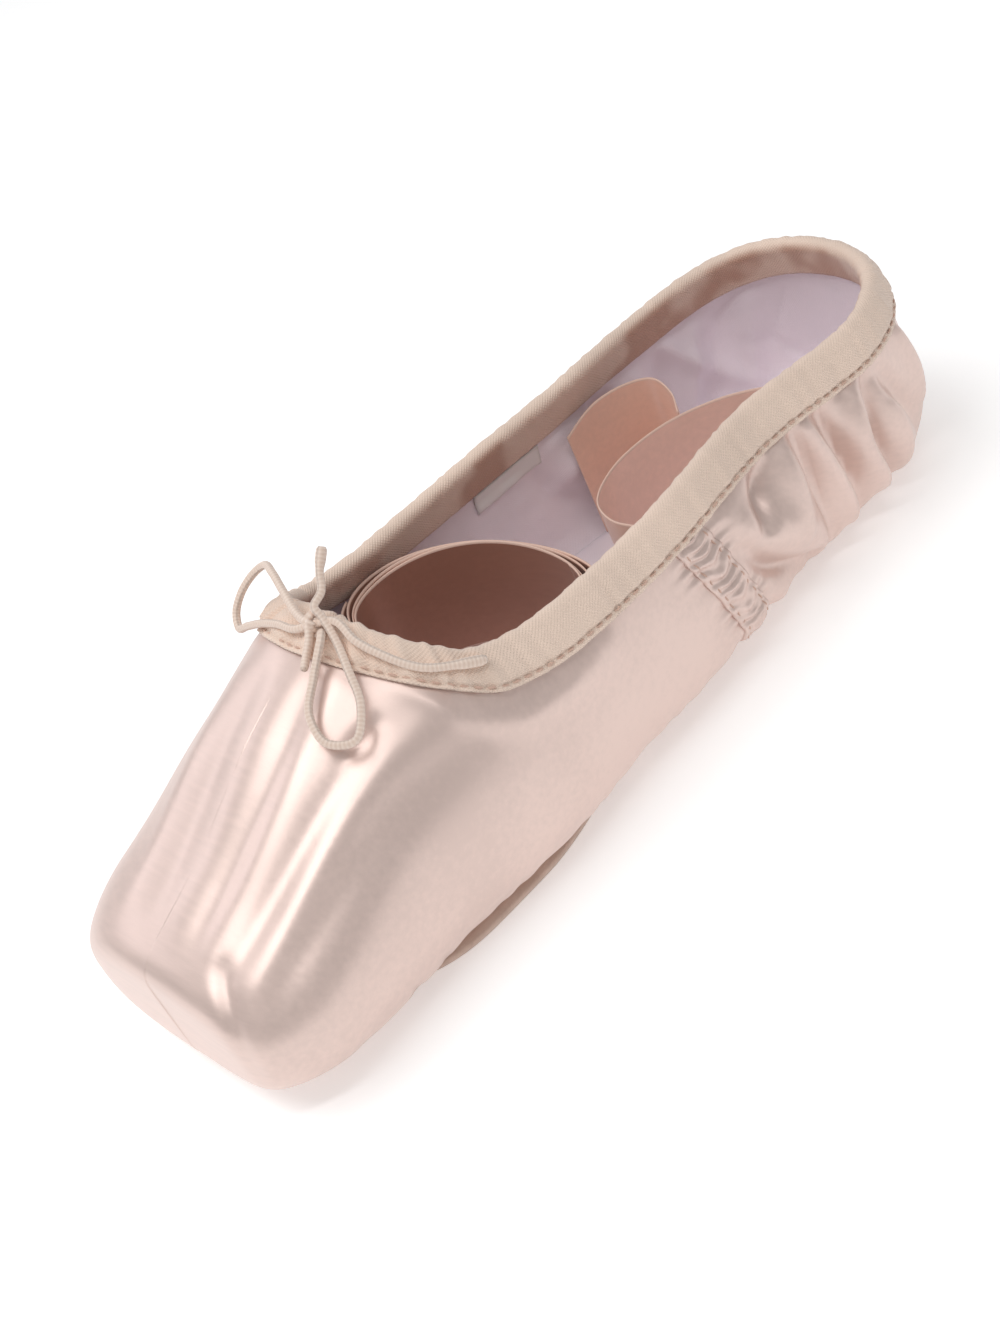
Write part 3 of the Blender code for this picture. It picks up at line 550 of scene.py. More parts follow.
def relief(p, n, below):
    """How far the satin stands off the last: its folds, gathers and pleats. below is the distance under
    the collar's edge."""
    x, y, z = p[..., 0], p[..., 1], p[..., 2]
    side = np.sign(y) + (y == 0)
    ring = around(p)
    wall = 1 - ease(0.55, 0.85, np.abs(n[..., 2]))
    quarter = 1 - ease(0.60 * LENGTH, 0.78 * LENGTH, x - HEEL_X)
    seam_x = HEEL_X + SEAM_FROM_HEEL + SEAM_SLANT * (z - CORE_HEIGHT)
    by_seam = np.abs(x - seam_x)
    clear = ease(0.5 * SEAM_WIDTH, SEAM_WIDTH + 2 * MM, by_seam)
    height = on_sides(p, quarter_lines) * (1 - ease(0.70, 0.95, np.abs(n[..., 2]))) * clear
    for crease, line in vamp_lines:
        height += (crease.height * MM * stroke(x - HEEL_X, y, line, crease.width * MM)
                   * ease(0.1, 0.5, n[..., 2]))
    wedge = stroke(x - HEEL_X, y, platform_line, PLATFORM_CREASE.width * MM)
    height += PLATFORM_CREASE.height * MM * wedge * ease(-0.3, 0.1, n[..., 2])
    slow = (np.sin(x * 95 + y * 60) * np.sin(z * 130 + x * 40 + 1.3) + np.sin(x * 170 - z * 90 + side)
            * np.sin(y * 120 + z * 70 + 0.4))
    height += (0.10 + 0.16 * quarter) * MM * slow
    puckers = np.sin(z * 1500 + 2.0 * np.sin(z * 420)) * np.exp(-((by_seam - SEAM_WIDTH / 2) / (3.2 * MM)) ** 2)
    height += 0.30 * MM * puckers * wall * ease(0.9 * BINDING_DROP, 1.4 * BINDING_DROP, below)
    under_tape = np.exp(-np.clip(below - BINDING_DROP, 0, None) / (5 * MM))
    height += 0.14 * MM * under_tape * np.sin(ring * 1250 + 2.2 * np.sin(ring * 210 + side)) * quarter
    from_sole = np.abs(y) - sole_half(x)
    toe_edge = TOE_X - SOLE_TOE_INSET
    bearing = np.arctan2(y, x - (toe_edge - 22 * MM))
    reach = np.hypot(x - (toe_edge - 22 * MM), y)
    under = ease(0.25, 0.75, -n[..., 2])
    at_toe = ease(toe_edge - 20 * MM, toe_edge - 4 * MM, x)
    pleat = np.abs(np.sin(bearing * 13 + 0.6 * np.sin(bearing * 5)))
    height += under * at_toe * 0.75 * MM * (1 - 2.0 * np.exp(-pleat * 3.2)) * ease(52 * MM, 26 * MM, reach)
    low_edge = np.exp(-(np.clip(z - lift(x) - FLOOR_OF_UPPER, 0, None) / (6 * MM)) ** 2) * (1 - at_toe)
    gathers = np.sin(ring * 900 + 1.7 * np.sin(ring * 260 + side * 2))
    height += 0.20 * MM * low_edge * gathers * ease(0, 4 * MM, from_sole)
    return height * ease(0.7 * BINDING_DROP, 1.35 * BINDING_DROP, below)


# %% [markdown]
# ## Satin, lining and tape
# Satin floats its warp threads over the surface, which gives broad, soft, slightly coloured highlights.
# A Principled shader does that with a low roughness, some metallic colouring and a sheen at grazing
# angles. Fine threads and a little dust of colour go on top, at their real size.

# %% Satin


def satin(name, colour, roughness=0.36, metallic=0.22):
    """Satin in one colour, with threads, faint streaks and soft changes of tone."""
    cloth = Finish(name, colour, Metallic=metallic, Sheen_Weight=0.10, Sheen_Roughness=0.4, Roughness=roughness)
    streaks = cloth.noise(900, 2, (1.0, 0.12, 1.0))
    clouds = cloth.noise(28, 3)
    darker, lighter = [c * 0.93 for c in colour], [min(1.0, c * 1.04) for c in colour]
    cloth.set("Base Color", cloth.mix((clouds * 0.7 + streaks * 0.3).soft(0.35, 0.65), darker, lighter))
    cloth.set("Roughness", roughness - 0.04 + streaks * 0.08)
    threads = cloth.noise(5200, 1, (1.0, 0.15, 1.0))
    cloth.bump(threads * 0.6 + streaks * 0.4, 0.05 * MM, 0.35)
    return cloth


SATIN = satin("satin", (0.79, 0.62, 0.56), 0.38, 0.50)

# %% [markdown]
# The lining is a plain cotton drill, pale and matt, with a faint weave.

# %% Lining


def woven(name, colour, pitch, roughness=0.85, depth=0.06):
    """Plain woven cotton: threads over and under each other, charted in millimetres."""
    cloth = Finish(name, colour, Roughness=roughness, Sheen_Weight=0.3, Sheen_Roughness=0.5)
    along, across = cloth.cloth()
    warp = (along * (2 * math.pi / pitch)).wave()
    weft = (across * (2 * math.pi / pitch)).wave()
    weave = warp * weft * 0.5 + 0.5
    clouds = cloth.noise(45, 3)
    darker, lighter = [c * 0.90 for c in colour], [min(1.0, c * 1.04) for c in colour]
    cloth.set("Base Color", cloth.mix(clouds.soft(0.3, 0.7) * 0.7 + weave * 0.3, darker, lighter))
    cloth.bump(weave + clouds * 0.5, depth * MM, 0.6)
    return cloth


def paint_fold_shade_inside(cloth, colour):
    """Painted shade: where the tape is drawn up inside, its gathered folds get darker, warmer patches that
    stand for their shadow.
    """
    across = cloth.cloth()[1]
    fold_shade_patches = cloth.noise(70, 2).soft(0.42, 0.58)
    base = cloth.shader.inputs["Base Color"].links[0].from_socket
    inner = across.soft(11.5, 13.5) * (0.25 + fold_shade_patches * 0.6)
    cloth.set("Base Color", cloth.mix(inner, Wire(cloth, base), colour))


LINING = woven("lining_cloth", (0.95, 0.87, 0.93), 0.55)
TAPE_CLOTH = woven("cotton_tape", (0.89, 0.70, 0.58), 0.75, depth=0.22)
# Painted shade: darker, warmer patches on the tape's inner side, where its gathered folds lie in shadow.
paint_fold_shade_inside(TAPE_CLOTH, (0.50, 0.27, 0.19))

# %% [markdown]
# ## The upper
# One closed skin: satin outside, cotton inside, with a stiff box that is thicker at the toe. It replaces
# the plain solid and keeps its wall.

# %% Upper
OUTER_ROWS, INNER_ROWS = ((118, 40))
shares_out, shares_in = np.linspace(0, 1, OUTER_ROWS), np.linspace(1, 0, INNER_ROWS)


def wall_of(points, shares):
    """Thickness of the upper: stiff and thick in the box, thin at the collar and under the foot."""
    box = ease(TOE_X - BOX_LENGTH, TOE_X - 0.6 * BOX_LENGTH, points[:, 0])
    above = points[:, 2] - lift(points[:, 0]) - (INSOLE_TOP - INSOLE_THICKNESS)
    height = ease(INSOLE_THICKNESS, 4 * INSOLE_THICKNESS, above) * (1 - ease(0.72, 0.92, shares))
    return WALL + (BOX_WALL - WALL) * box * height


def skin(line, shares, inward=False):
    """A rib's points on the finished upper, outside or inside, with their normals."""
    total = measured(line)[-1]
    p = along_line(line, shares * total)
    n = normals(p)
    folds = relief(p, n, (1 - shares) * total)
    if inward:
        humps = on_sides(p, lining_lines)
        humps *= ease(BINDING_INNER_DROP, 1.5 * BINDING_INNER_DROP, (1 - shares) * total)
        humps *= ease(INSOLE_TOP, INSOLE_TOP + 6 * MM, p[:, 2] - lift(p[:, 0]))
        return p - (wall_of(p, shares) - 0.6 * folds + humps)[:, None] * n, n
    return p + folds[:, None] * n, n


rings, turns = [], []
for line in ribs:
    total = measured(line)[-1]
    outer, inner = skin(line, shares_out)[0], skin(line, shares_in, True)[0]
    rings.append(np.vstack([outer, inner]))
    turns.append(np.concatenate([shares_out * total, shares_in * total]))
middle_line = np.array([along_line(line, [0.5 * measured(line)[-1]])[0] for line in ribs])
round_run = measured(np.vstack([middle_line, middle_line[:1]]))
slots = [0] * (OUTER_ROWS - 1) + [1] * (INNER_ROWS + 1)
upper = tube("upper_satin", rings, [SATIN, LINING], True, round_run, turns, slots, ("upper",))
print("upper:", len(upper.data.polygons), "faces")

# %% [markdown]
# ## The binding
# A cotton tape folded over the raw edge makes a channel for the drawstring. It is drawn up at the throat,
# so it gathers there, and it stays almost flat along the sides and round the heel.

# %% Binding
collar_run = measured(np.vstack([COLLAR_LINE, COLLAR_LINE[:1]]))
THROAT_RUN = collar_run[RIBS_A_SIDE]
LEG_ROWS, CROWN_ROWS = 12, 9
rings = []
for line, run in zip(ribs, collar_run):
    total = measured(line)[-1]
    leg = np.linspace(1, 0, LEG_ROWS)
    outer = along_line(line, total - leg * BINDING_DROP)
    under = along_line(line, total - leg * BINDING_INNER_DROP)
    n_out, n_in = normals(outer), normals(under)
    edge, out = outer[-1], n_out[-1]
    up = edge - along_line(line, [total - 1 * MM])[0]
    up /= np.linalg.norm(up)
    from_throat = abs(run - THROAT_RUN)
    drawn = math.exp(-(from_throat / (30 * MM)) ** 2)
    phase = run * 1150 + 1.9 * math.sin(run * 330) + 0.8 * math.sin(run * 910)
    ripple = (0.20 + 0.42 * drawn) * MM * math.sin(phase)
    ripple += 0.10 * MM * math.sin(run * 2700 + 2 * math.sin(run * 500))
    swell = 0.40 * MM * np.sin(math.pi * np.clip(leg, 0, 1)) ** 0.8
    channel = -0.75 * MM * np.exp(-((leg - 0.84) / 0.05) ** 2)
    flare = ripple * (0.35 + 0.65 * np.sin(math.pi * (0.1 + 0.8 * leg)))
    face = outer + (GAP + TAPE + swell + channel + flare)[:, None] * n_out
    wide = WALL / 2 + GAP + TAPE
    centre = edge - out * WALL / 2 + up * GAP
    crown_turn = np.linspace(0, math.pi, CROWN_ROWS + 2)[1:-1]
    crown = np.array([centre + (wide + 0.25 * MM * math.sin(a) + 0.5 * ripple) * (math.cos(a) * out
                      + math.sin(a) * up) for a in crown_turn])
    back = under - (WALL + GAP + TAPE + 0.25 * swell + 0.3 * flare)[:, None] * n_in
    hidden_in = under[::4] - (WALL + 0.5 * GAP) * n_in[::4]
    hidden_out = (outer + 0.5 * GAP * n_out)[::4][::-1]
    rings.append(np.vstack([face, crown, back[::-1], hidden_in, hidden_out]))
turn = measured(rings[0])
tube("binding_tape", rings, [TAPE_CLOTH], True, collar_run, turn, None, ("binding",))
print("collar's length in mm:", round(collar_run[-1] * 1000))

# %% [markdown]
# ## Stitches
# Sewing shows as short raised dashes. Each is a tiny tapered tube that dips into the cloth at both ends,
# and one mesh holds a whole row, so a seam is one piece.

# %% Stitches


def stitch_rows(name, rows, finish, length, gap, radius, flatten=1.0):
    """Dashes along rows of points, each row given with its outward directions."""
    points, faces = [], []
    profile, sides = (0.25, 0.85, 1.0, 0.85, 0.25), 6
    for line, out in rows:
        run = measured(line)
        for at in np.arange(0.5 * gap, run[-1] - length, length + gap):
            spots = at + length * np.linspace(0, 1, len(profile))
            centre = along_line(line, spots)
            way = np.stack([np.interp(spots, run, out[:, k]) for k in range(3)], axis=-1)
            ahead = np.gradient(centre, axis=0)
            ahead /= np.linalg.norm(ahead, axis=1, keepdims=True)
            across = np.cross(ahead, way)
            across /= np.linalg.norm(across, axis=1, keepdims=True)
            first = len(points)
            for c, w, a, share in zip(centre, way, across, profile):
                c = c + w * radius * (share - 0.7) * flatten
                for turn in np.linspace(0, 2 * math.pi, sides, endpoint=False):
                    points.append(c + radius * share * (math.cos(turn) * a + flatten * math.sin(turn) * w))
            for i in range(len(profile) - 1):
                for j in range(sides):
                    k = (j + 1) % sides
                    faces.append((first + i * sides + j, first + i * sides + k,
                                  first + (i + 1) * sides + k, first + (i + 1) * sides + j))
            last = first + (len(profile) - 1) * sides
            faces.append(tuple(first + j for j in range(sides))[::-1])
            faces.append(tuple(last + j for j in range(sides)))
    return piece(name, points, faces, [finish])


PALE_THREAD = Finish("pale_thread", (0.66, 0.44, 0.35), Roughness=0.6, Sheen_Weight=0.2)
BROWN_THREAD = Finish("brown_thread", (0.085, 0.035, 0.020), Roughness=0.7)
row, ways = [], []
for line in ribs + ribs[:1]:
    total = measured(line)[-1]
    p = along_line(line, [total - 0.86 * BINDING_DROP])
    n = normals(p)
    row.append(p[0] + (GAP + TAPE + 0.05 * MM) * n[0])
    ways.append(n[0])
stitch_rows("binding_stitches", [(np.array(row), np.array(ways))], PALE_THREAD, 1.7 * MM, 0.8 * MM, 0.20 * MM)

# %% [markdown]
# ## Heel strip and side seams
# A strip of the same satin covers the back seam, sewn down with four rows. At each side a narrow band is
# held between two rows of stitches, and the cloth between them is slightly gathered.

# %% Bands


def trail(start, headings):
    """Points of the last's surface along a fan of rays, up to the collar."""
    headings = headings / np.linalg.norm(headings, axis=1, keepdims=True)
    return trim_to_collar(strike(np.tile(start, (len(headings), 1)), headings))


def below_tape(line):
    """A trail cut off just under the binding, with its distances below the collar's edge."""
    total = measured(line)[-1]
    spots = np.linspace(0, total - BINDING_DROP - 0.5 * GAP, TRAIL_POINTS)
    return along_line(line, spots), total - spots


def kept(line, below, within):
    """The points of a trail from the first one within the band's own bounds."""
    keep = np.linspace(int(np.argmax(within)), TRAIL_POINTS - 1, LENGTHWAYS).round().astype(int)
    return line[keep], below[keep]


def raised(trails, ripple):
    """A band's rings: each trail lies on the folds of the satin, raised by its own thickness."""
    rings, tops = [], []
    for index, (p, below) in enumerate(trails):
        n = normals(p)
        lie = relief(p, n, below)
        edge = min(index, len(trails) - 1 - index)
        proud = BAND_THICKNESS * (0.45 if edge == 0 else 0.9 if edge == 1 else 1.0)
        top = p + (lie + 0.5 * GAP + proud + ripple(index, below))[:, None] * n
        rings.append(np.vstack([p + (lie - 0.1 * MM)[:, None] * n, top[::-1]]))
        tops.append((top, n))
    return rings, tops


pitch = np.radians(np.linspace(-89.6, 88.0, 181))[:, None]
LENGTHWAYS, TRAIL_POINTS = 110, 400
STRIP_LINES = 31
trails = []
for across in np.linspace(-0.5, 0.5, STRIP_LINES) * HEEL_STRIP_WIDTH:
    line, below = below_tape(trail(np.array([HEEL_PIVOT_X, across, CORE_HEIGHT]), fan((-1.0, 0.0, 0.0))))
    end = HEEL_X + SOLE_HEEL_INSET - 2 * GAP + SOLE_HEEL_ROUNDING * (1 - math.sqrt(
        1 - (across / (0.5 * SOLE_HEEL_WIDTH)) ** 2))
    trails.append(kept(line, below, line[:, 0] < end))
ROWS_OF_STITCHES = (0.10, 0.36, 0.64, 0.90)


def strip_ripple(index, below):
    """Shallow grooves where the rows of stitches pull the strip down."""
    share = index / (STRIP_LINES - 1)
    pull = sum(math.exp(-((share - row) / 0.035) ** 2) for row in ROWS_OF_STITCHES)
    return -0.22 * MM * pull + 0.06 * MM * np.sin(below * 2400 + 9 * share)


rings, tops = raised(trails, strip_ripple)
tube("heel_strip_satin", rings, [SATIN], False, np.linspace(0, HEEL_STRIP_WIDTH, STRIP_LINES),
     np.linspace(0, 0.06, 2 * LENGTHWAYS), None, ("heel_strip",))
rows = [tops[round(share * (STRIP_LINES - 1))] for share in ROWS_OF_STITCHES]
stitch_rows("heel_strip_stitches", rows, PALE_THREAD, 1.9 * MM, 0.9 * MM, 0.19 * MM)

BAND_LINES = 17
for side, node in ((1, "seam_band_left"), (-1, "seam_band_right")):
    trails = []
    for shift in np.linspace(-0.5, 0.5, BAND_LINES) * SEAM_WIDTH:
        start = np.array([HEEL_X + SEAM_FROM_HEEL + shift, 0.0, CORE_HEIGHT])
        line, below = below_tape(trail(start, fan((0.0, side, 0.0), (SEAM_SLANT, 0.0, 1.0))))
        trails.append(kept(line, below, np.abs(line[:, 1]) > sole_half(line[:, 0]) + GAP))

    def band_ripple(index, below):
        """Gathers across the band, between the two rows that hold it."""
        share = index / (BAND_LINES - 1)
        middle = math.sin(math.pi * share)
        pull = sum(math.exp(-((share - row) / 0.07) ** 2) for row in (0.14, 0.86))
        puff = np.sin(below * 2300 + 1.5 * np.sin(below * 600) + side + 0.8 * math.sin(9 * share))
        return 0.42 * MM * middle * puff - 0.30 * MM * pull + 0.30 * MM * middle

    rings, tops = raised(trails, band_ripple)
    tube(node + "_satin", rings, [SATIN], False, np.linspace(0, SEAM_WIDTH, BAND_LINES),
         np.linspace(0, 0.06, 2 * LENGTHWAYS), None, (node,))
    stitch_rows(node + "_stitches", [tops[2], tops[-3]], PALE_THREAD, 1.9 * MM, 0.9 * MM, 0.20 * MM)

# %% [markdown]
# ## The outsole
# A thin piece of suede, flesh side out, sewn on by hand. It is left bare. Suede scatters light, so it is
# rough, mottled and slightly fuzzy.

# %% Outsole
SUEDE = Finish("suede", (0.68, 0.49, 0.40), Roughness=0.92, Sheen_Weight=0.45, Sheen_Roughness=0.6)
mottle = SUEDE.noise(160, 4)
nap = SUEDE.noise(2600, 2)
hide = SUEDE.mix(mottle.soft(0.3, 0.7) * 0.7 + nap * 0.3, (0.60, 0.42, 0.335), (0.74, 0.545, 0.45))
SUEDE.set("Base Color", hide)
SUEDE.bump(nap * 0.6 + mottle * 0.4, 0.12 * MM, 0.8)


def plate(name, xs, half_of, low, high, finish, node, round_over, dome=0.0):
    """A flat piece with rounded edges between two outlines, as rings from heel to toe."""
    rings = []
    across = np.linspace(-1, 1, 25)
    for x in xs:
        half, base = max(float(half_of(x)), 0.2 * MM), float(lift(x))
        edge = np.minimum(round_over, half * (1 - np.abs(across)))
        drop = round_over - np.sqrt(np.clip(round_over ** 2 - (round_over - edge) ** 2, 0, None))
        rise = dome * (1 - across ** 2)
        y = across * half
        top = np.stack([np.full_like(y, x), y, base + high - drop + rise], axis=-1)
        bottom = np.stack([np.full_like(y, x), y, base + low + 0.6 * drop], axis=-1)[::-1]
        rings.append(np.vstack([bottom, top]))
    return tube(name, rings, [finish], False, xs - xs[0], measured(rings[len(rings) // 2]), None, (node,))


SOLE_LENGTH = LAST_LENGTH - SOLE_HEEL_INSET - SOLE_TOE_INSET
SOLE_SWELL, SOLE_EDGE_ROUNDING = 0.15 * MM, 0.5 * MM
sole_xs = HEEL_X + SOLE_HEEL_INSET + SOLE_LENGTH * bunched(0.012, 0.992, 150)
plate("outsole_suede", sole_xs, sole_half, 0.0, SOLE_THICKNESS + SOLE_SWELL, SUEDE, "outsole",
      SOLE_EDGE_ROUNDING)
STITCH_MARGIN, STITCH_PITCH, STITCH_LENGTH, STITCH_SUNK = 3.2 * MM, 7.2 * MM, 1.8 * MM, 0.16 * MM
xs = HEEL_X + SOLE_HEEL_INSET + STITCH_MARGIN + (SOLE_LENGTH - 2 * STITCH_MARGIN) * bunched(0.004, 0.996, 300)
half, low = sole_half(xs, STITCH_MARGIN), lift(xs) + STITCH_SUNK
loop = np.vstack([np.stack([xs, half, low], -1), np.stack([xs, -half, low], -1)[::-1]])
down = np.tile([0.0, 0.0, -1.0], (len(loop), 1))
stitch_rows("outsole_stitches", [(loop, down)], BROWN_THREAD, STITCH_LENGTH, STITCH_PITCH - STITCH_LENGTH,
            0.35 * MM, 0.5)

# %% [markdown]
# ## The insole
# A pale cotton sock lies over the shank. It is slightly domed, because the glue and the shank lie under it.

# %% Insole
inner_xs, inner_half = [], []
for line in left_ribs[::3]:
    total = measured(line)[-1]
    shares = np.linspace(0, 0.6, 90)
    p = along_line(line, shares * total)
    inner = p - wall_of(p, shares)[:, None] * normals(p)
    height = inner[:, 2] - lift(inner[:, 0])
    at = int(np.argmax(height > INSOLE_TOP))
    inner_xs.append(inner[at, 0])
    inner_half.append(abs(inner[at, 1]))
order = np.argsort(inner_xs)
inner_xs, inner_half = np.array(inner_xs)[order], np.array(inner_half)[order]
insole_xs = inner_xs[0] + 0.6 * MM + (TOE_X - 12 * MM - inner_xs[0]) * bunched(0.02, 0.98, 110)
plate("insole_sock", insole_xs, lambda x: np.interp(x, inner_xs, inner_half) - 0.8 * MM,
      INSOLE_TOP - INSOLE_THICKNESS, INSOLE_TOP, LINING, "insole", 0.9 * MM, 0.5 * MM)

# %% [markdown]
# ## Ribbons
# Two long satin ribbons are sewn inside the quarters. For storage one is rolled up on its edge and the
# ends of both are tucked in loosely. A ribbon is a sheet: one strip of cloth, thin, with bound edges.

# %% Ribbons
RIBBON_SATIN = satin("ribbon_satin", (0.92, 0.63, 0.51), 0.34, 0.12)
# The roll's satin is the ribbon satin painted much darker: painted shade for the inside of the roll and the
# shoe.
SHADED_ROLL_SATIN = satin("ribbon_roll_shade_painted_satin", (0.46, 0.23, 0.165), 0.36, 0.25)
SELVAGE = Finish("ribbon_selvage", (0.80, 0.56, 0.46), Roughness=0.5)


def smooth_line(points, count):
    """A smooth line through a few points, at even distances."""
    points = np.asarray(points, float)
    run = measured(points)
    at = np.linspace(0, run[-1], count)
    slope = np.gradient(points, run, axis=0)
    i = np.clip(np.searchsorted(run, at, side="right") - 1, 0, len(run) - 2)
    step = (run[i + 1] - run[i])[:, None]
    t = ((at - run[i]) / step[:, 0])[:, None]
    line = (points[i] * (1 + 2 * t) * (1 - t) ** 2 + slope[i] * step * t * (1 - t) ** 2
            + points[i + 1] * t * t * (3 - 2 * t) + slope[i + 1] * step * t * t * (t - 1))
    return along_line(line, np.linspace(0, measured(line)[-1], count))


def ribbon(name, low_edge, high_edge, thickness, node, finish=None):
    """A strip of satin between two edges, closed all round."""
    across = np.array([0, 0.022, 0.15, 0.3, 0.5, 0.7, 0.85, 0.978, 1])
    rows = len(across)
    rings = []
    middle = (low_edge + high_edge) / 2
    ahead = np.gradient(middle, axis=0)
    for a, b, way in zip(low_edge, high_edge, ahead):
        face = np.cross(way, b - a)
        face /= np.linalg.norm(face)
        line = a + across[:, None] * (b - a)
        rings.append(np.vstack([line + thickness / 2 * face, (line - thickness / 2 * face)[::-1]]))
    run = measured(middle)
    turn = np.concatenate([across, across[::-1]]) * RIBBON_WIDTH
    bound = [1] + [0] * (rows - 3) + [1]
    strip = tube(name, rings, [finish or RIBBON_SATIN, SELVAGE], False, run, turn, bound + [1] + bound + [1],
                 (node,) if node else ())
    print(name, "length in mm:", round(run[-1] * 1000))
    return strip


SATIN_THICKNESS, OVER_INSOLE = 0.28 * MM, 0.8 * MM
ROLL_CENTRE, ROLL_YAW = np.array([11.5 * MM, -2 * MM]), math.radians(-62)
# The roll leans: its end at the throat stands higher by its rise, and its back end bulges a little
ROLL_LONG, ROLL_SHORT, ROLL_TURNS, ROLL_STEP = 25 * MM, 16 * MM, 3.6, 0.7 * MM
ROLL_RISE, ROLL_BULGE = 7 * MM, 1.6 * MM
turn = np.linspace(0, ROLL_TURNS * 2 * math.pi, 420)
inward = ROLL_STEP * turn / (2 * math.pi) - ROLL_BULGE * np.exp(-((turn - math.pi) / 0.8) ** 2)
wobble = 1 + 0.012 * np.sin(turn * 1.37) + 0.010 * np.sin(turn * 2.6)
a, b = (ROLL_LONG - inward) * np.cos(turn) * wobble, (ROLL_SHORT - inward) * np.sin(turn) * wobble
x = ROLL_CENTRE[0] + a * math.cos(ROLL_YAW) - b * math.sin(ROLL_YAW)
y = ROLL_CENTRE[1] + a * math.sin(ROLL_YAW) + b * math.cos(ROLL_YAW)
foot = lift(x) + INSOLE_TOP + OVER_INSOLE + ROLL_RISE * ease(ROLL_LONG, -ROLL_LONG, y - ROLL_CENTRE[1])
sway = 0.6 * MM * np.sin(turn * 0.9) + 0.4 * MM * np.sin(turn * 2.3)
low_edge = np.stack([x, y, foot + 0.3 * MM * (1 + np.sin(turn))], axis=-1)
high_edge = np.stack([x, y, foot + RIBBON_WIDTH + sway], axis=-1)
ribbon("ribbon_roll_shade_painted_satin", low_edge, high_edge, SATIN_THICKNESS, "ribbon_roll",
       SHADED_ROLL_SATIN)

# Lines in plan, as shares of the length from the middle and of half the ball's width, with a lean in mm
Bend = namedtuple("Bend", "along across lean", defaults=(0.0,))
RIBBON_NEAR = (Bend(-0.33, 0.45, -1.0), Bend(-0.28, 0.10, -1.0), Bend(-0.22, -0.10, -1.0), Bend(-0.16, -0.15),
               Bend(-0.11, 0.00), Bend(-0.09, 0.25), Bend(-0.09, 0.50))
RIBBON_FAR = (Bend(-0.18, -0.65), Bend(-0.23, -0.60), Bend(-0.28, -0.45), Bend(-0.27, -0.25),
              Bend(-0.25, -0.10))
FAR_RISE = 3.5 * MM
for name, bends, rise in (("ribbon_near", RIBBON_NEAR, 0.0), ("ribbon_far", RIBBON_FAR, FAR_RISE)):
    line = smooth_line([(b.along * LENGTH, b.across * BALL_WIDTH / 2, b.lean * MM) for b in bends], 120)
    x, y, lean = line.T
    run = np.linspace(0, 1, len(line))
    foot = lift(x) + INSOLE_TOP + OVER_INSOLE + rise * np.sin(math.pi * run)
    low_edge = np.stack([x, y, foot], axis=-1)
    high_edge = np.stack([x, y + lean * 0.6, foot + RIBBON_WIDTH + 0.8 * MM * np.sin(run * 7)], axis=-1)
    ribbon(name + "_satin", low_edge, high_edge, SATIN_THICKNESS, name)

# %% [markdown]
# ## The drawstring
# A round cotton cord leaves the binding at the throat and is tied in a small bow: each of its two ends
# makes one loop and hangs on as a short tail. So there are two cords here, crossing in the knot.

# %% Drawstring
COTTON = Finish("cotton_cord", (0.78, 0.60, 0.50), Roughness=0.75, Sheen_Weight=0.35, Sheen_Roughness=0.5)
along, across = COTTON.cloth()
plait = (along * 4.2 + across * 2.4).wave() * (along * 4.2 - across * 2.4).wave() * 0.5 + 0.5
COTTON.set("Base Color", COTTON.mix(plait, (0.74, 0.57, 0.47), (0.90, 0.75, 0.65)))
COTTON.bump(plait, 0.14 * MM, 0.8)

seat = along_line(left_ribs[-1], [measured(left_ribs[-1])[-1] - KNOT_AHEAD])
KNOT = (seat + (2 * GAP + TAPE + 0.5 * KNOT_HEIGHT) * normals(seat))[0] + np.array([0.0, KNOT_ASIDE, 0.0])
print("knot in mm:", (KNOT * 1000).round(1))


def cord(name, turns, count, stands_for, bare_tip=40.0):
    """A plaited cord through its turns, given in cord thicknesses forward, left and up from the knot."""
    line = smooth_line([KNOT + CORD * np.array(turn) for turn in turns], count)
    rings, side = [], Vector((0, 0, 1)).cross(Vector(line[1] - line[0]))
    sides = 14
    for i, point in enumerate(line):
        ahead = Vector(line[min(i + 1, count - 1)] - line[max(i - 1, 0)]).normalized()
        side = (side - ahead * side.dot(ahead)).normalized()
        other = ahead.cross(side)
        tip = (count - 1 - i) / (count - 1) * bare_tip
        radius = CORD / 2 * (0.8 if i in (0, count - 1) else 1.0) * (1 + 0.32 * math.exp(-(tip - 1) ** 4))
        rings.append(np.array([point + radius * (math.cos(a) * np.array(side) + math.sin(a) * np.array(other))
                               for a in np.linspace(0, 2 * math.pi, sides, endpoint=False)]))
    run = measured(line)
    body = tube(name, rings, [COTTON], False, run, np.linspace(0, math.pi * CORD, sides, endpoint=False), None,
                stands_for)
    return body, line, float(run[-1])


STRAND_FAR = ((5, 2, -2.5), (3.5, 1, -2), (2, 0.5, -1), (1, 0, 0.3), (0.5, -2, 0.5), (-1.5, -7, 1.5),
              (-3, -10.5, 2), (-4, -13.5, 1.5), (-3, -16, 0), (-1, -17.5, -2), (0.5, -18, -4), (1.5, -17, -5),
              (1.5, -14.5, -4), (1.5, -11, -2.5), (1.5, -6, -1), (1.5, -2, -0.5), (0.5, 0, 0), (-1, 2.5, 0),
              (-0.5, 6, -1.5), (-1, 9, -3), (-3, 13, -5.5), (-6, 15, -7), (-9, 16, -8.5))
STRAND_NEAR = ((1, 0.5, -1.5), (0.5, 1, -1), (1, 2, -0.5), (5, 3.5, -3), (9, 6, -5), (10, 9, -7),
               (8, 11.5, -7.5), (5, 10.5, -5.5), (2.5, 7, -3), (0, 2.5, -0.5), (-0.5, 1, 1), (-0.5, 0.5, 1.75),
               (-2.5, 0, 2.5),
               (-4, -1, 4), (-6, -1.5, 6))
far_cord, far_line, far_length = cord("drawstring_far", STRAND_FAR, 150,
                                      ("drawstring_loop_far", "drawstring_end_side", "drawstring_feed"))
near_cord, near_line, near_length = cord("drawstring_near", STRAND_NEAR, 150,
                                         ("drawstring_loop_near", "drawstring_end_up"))
wrap = []
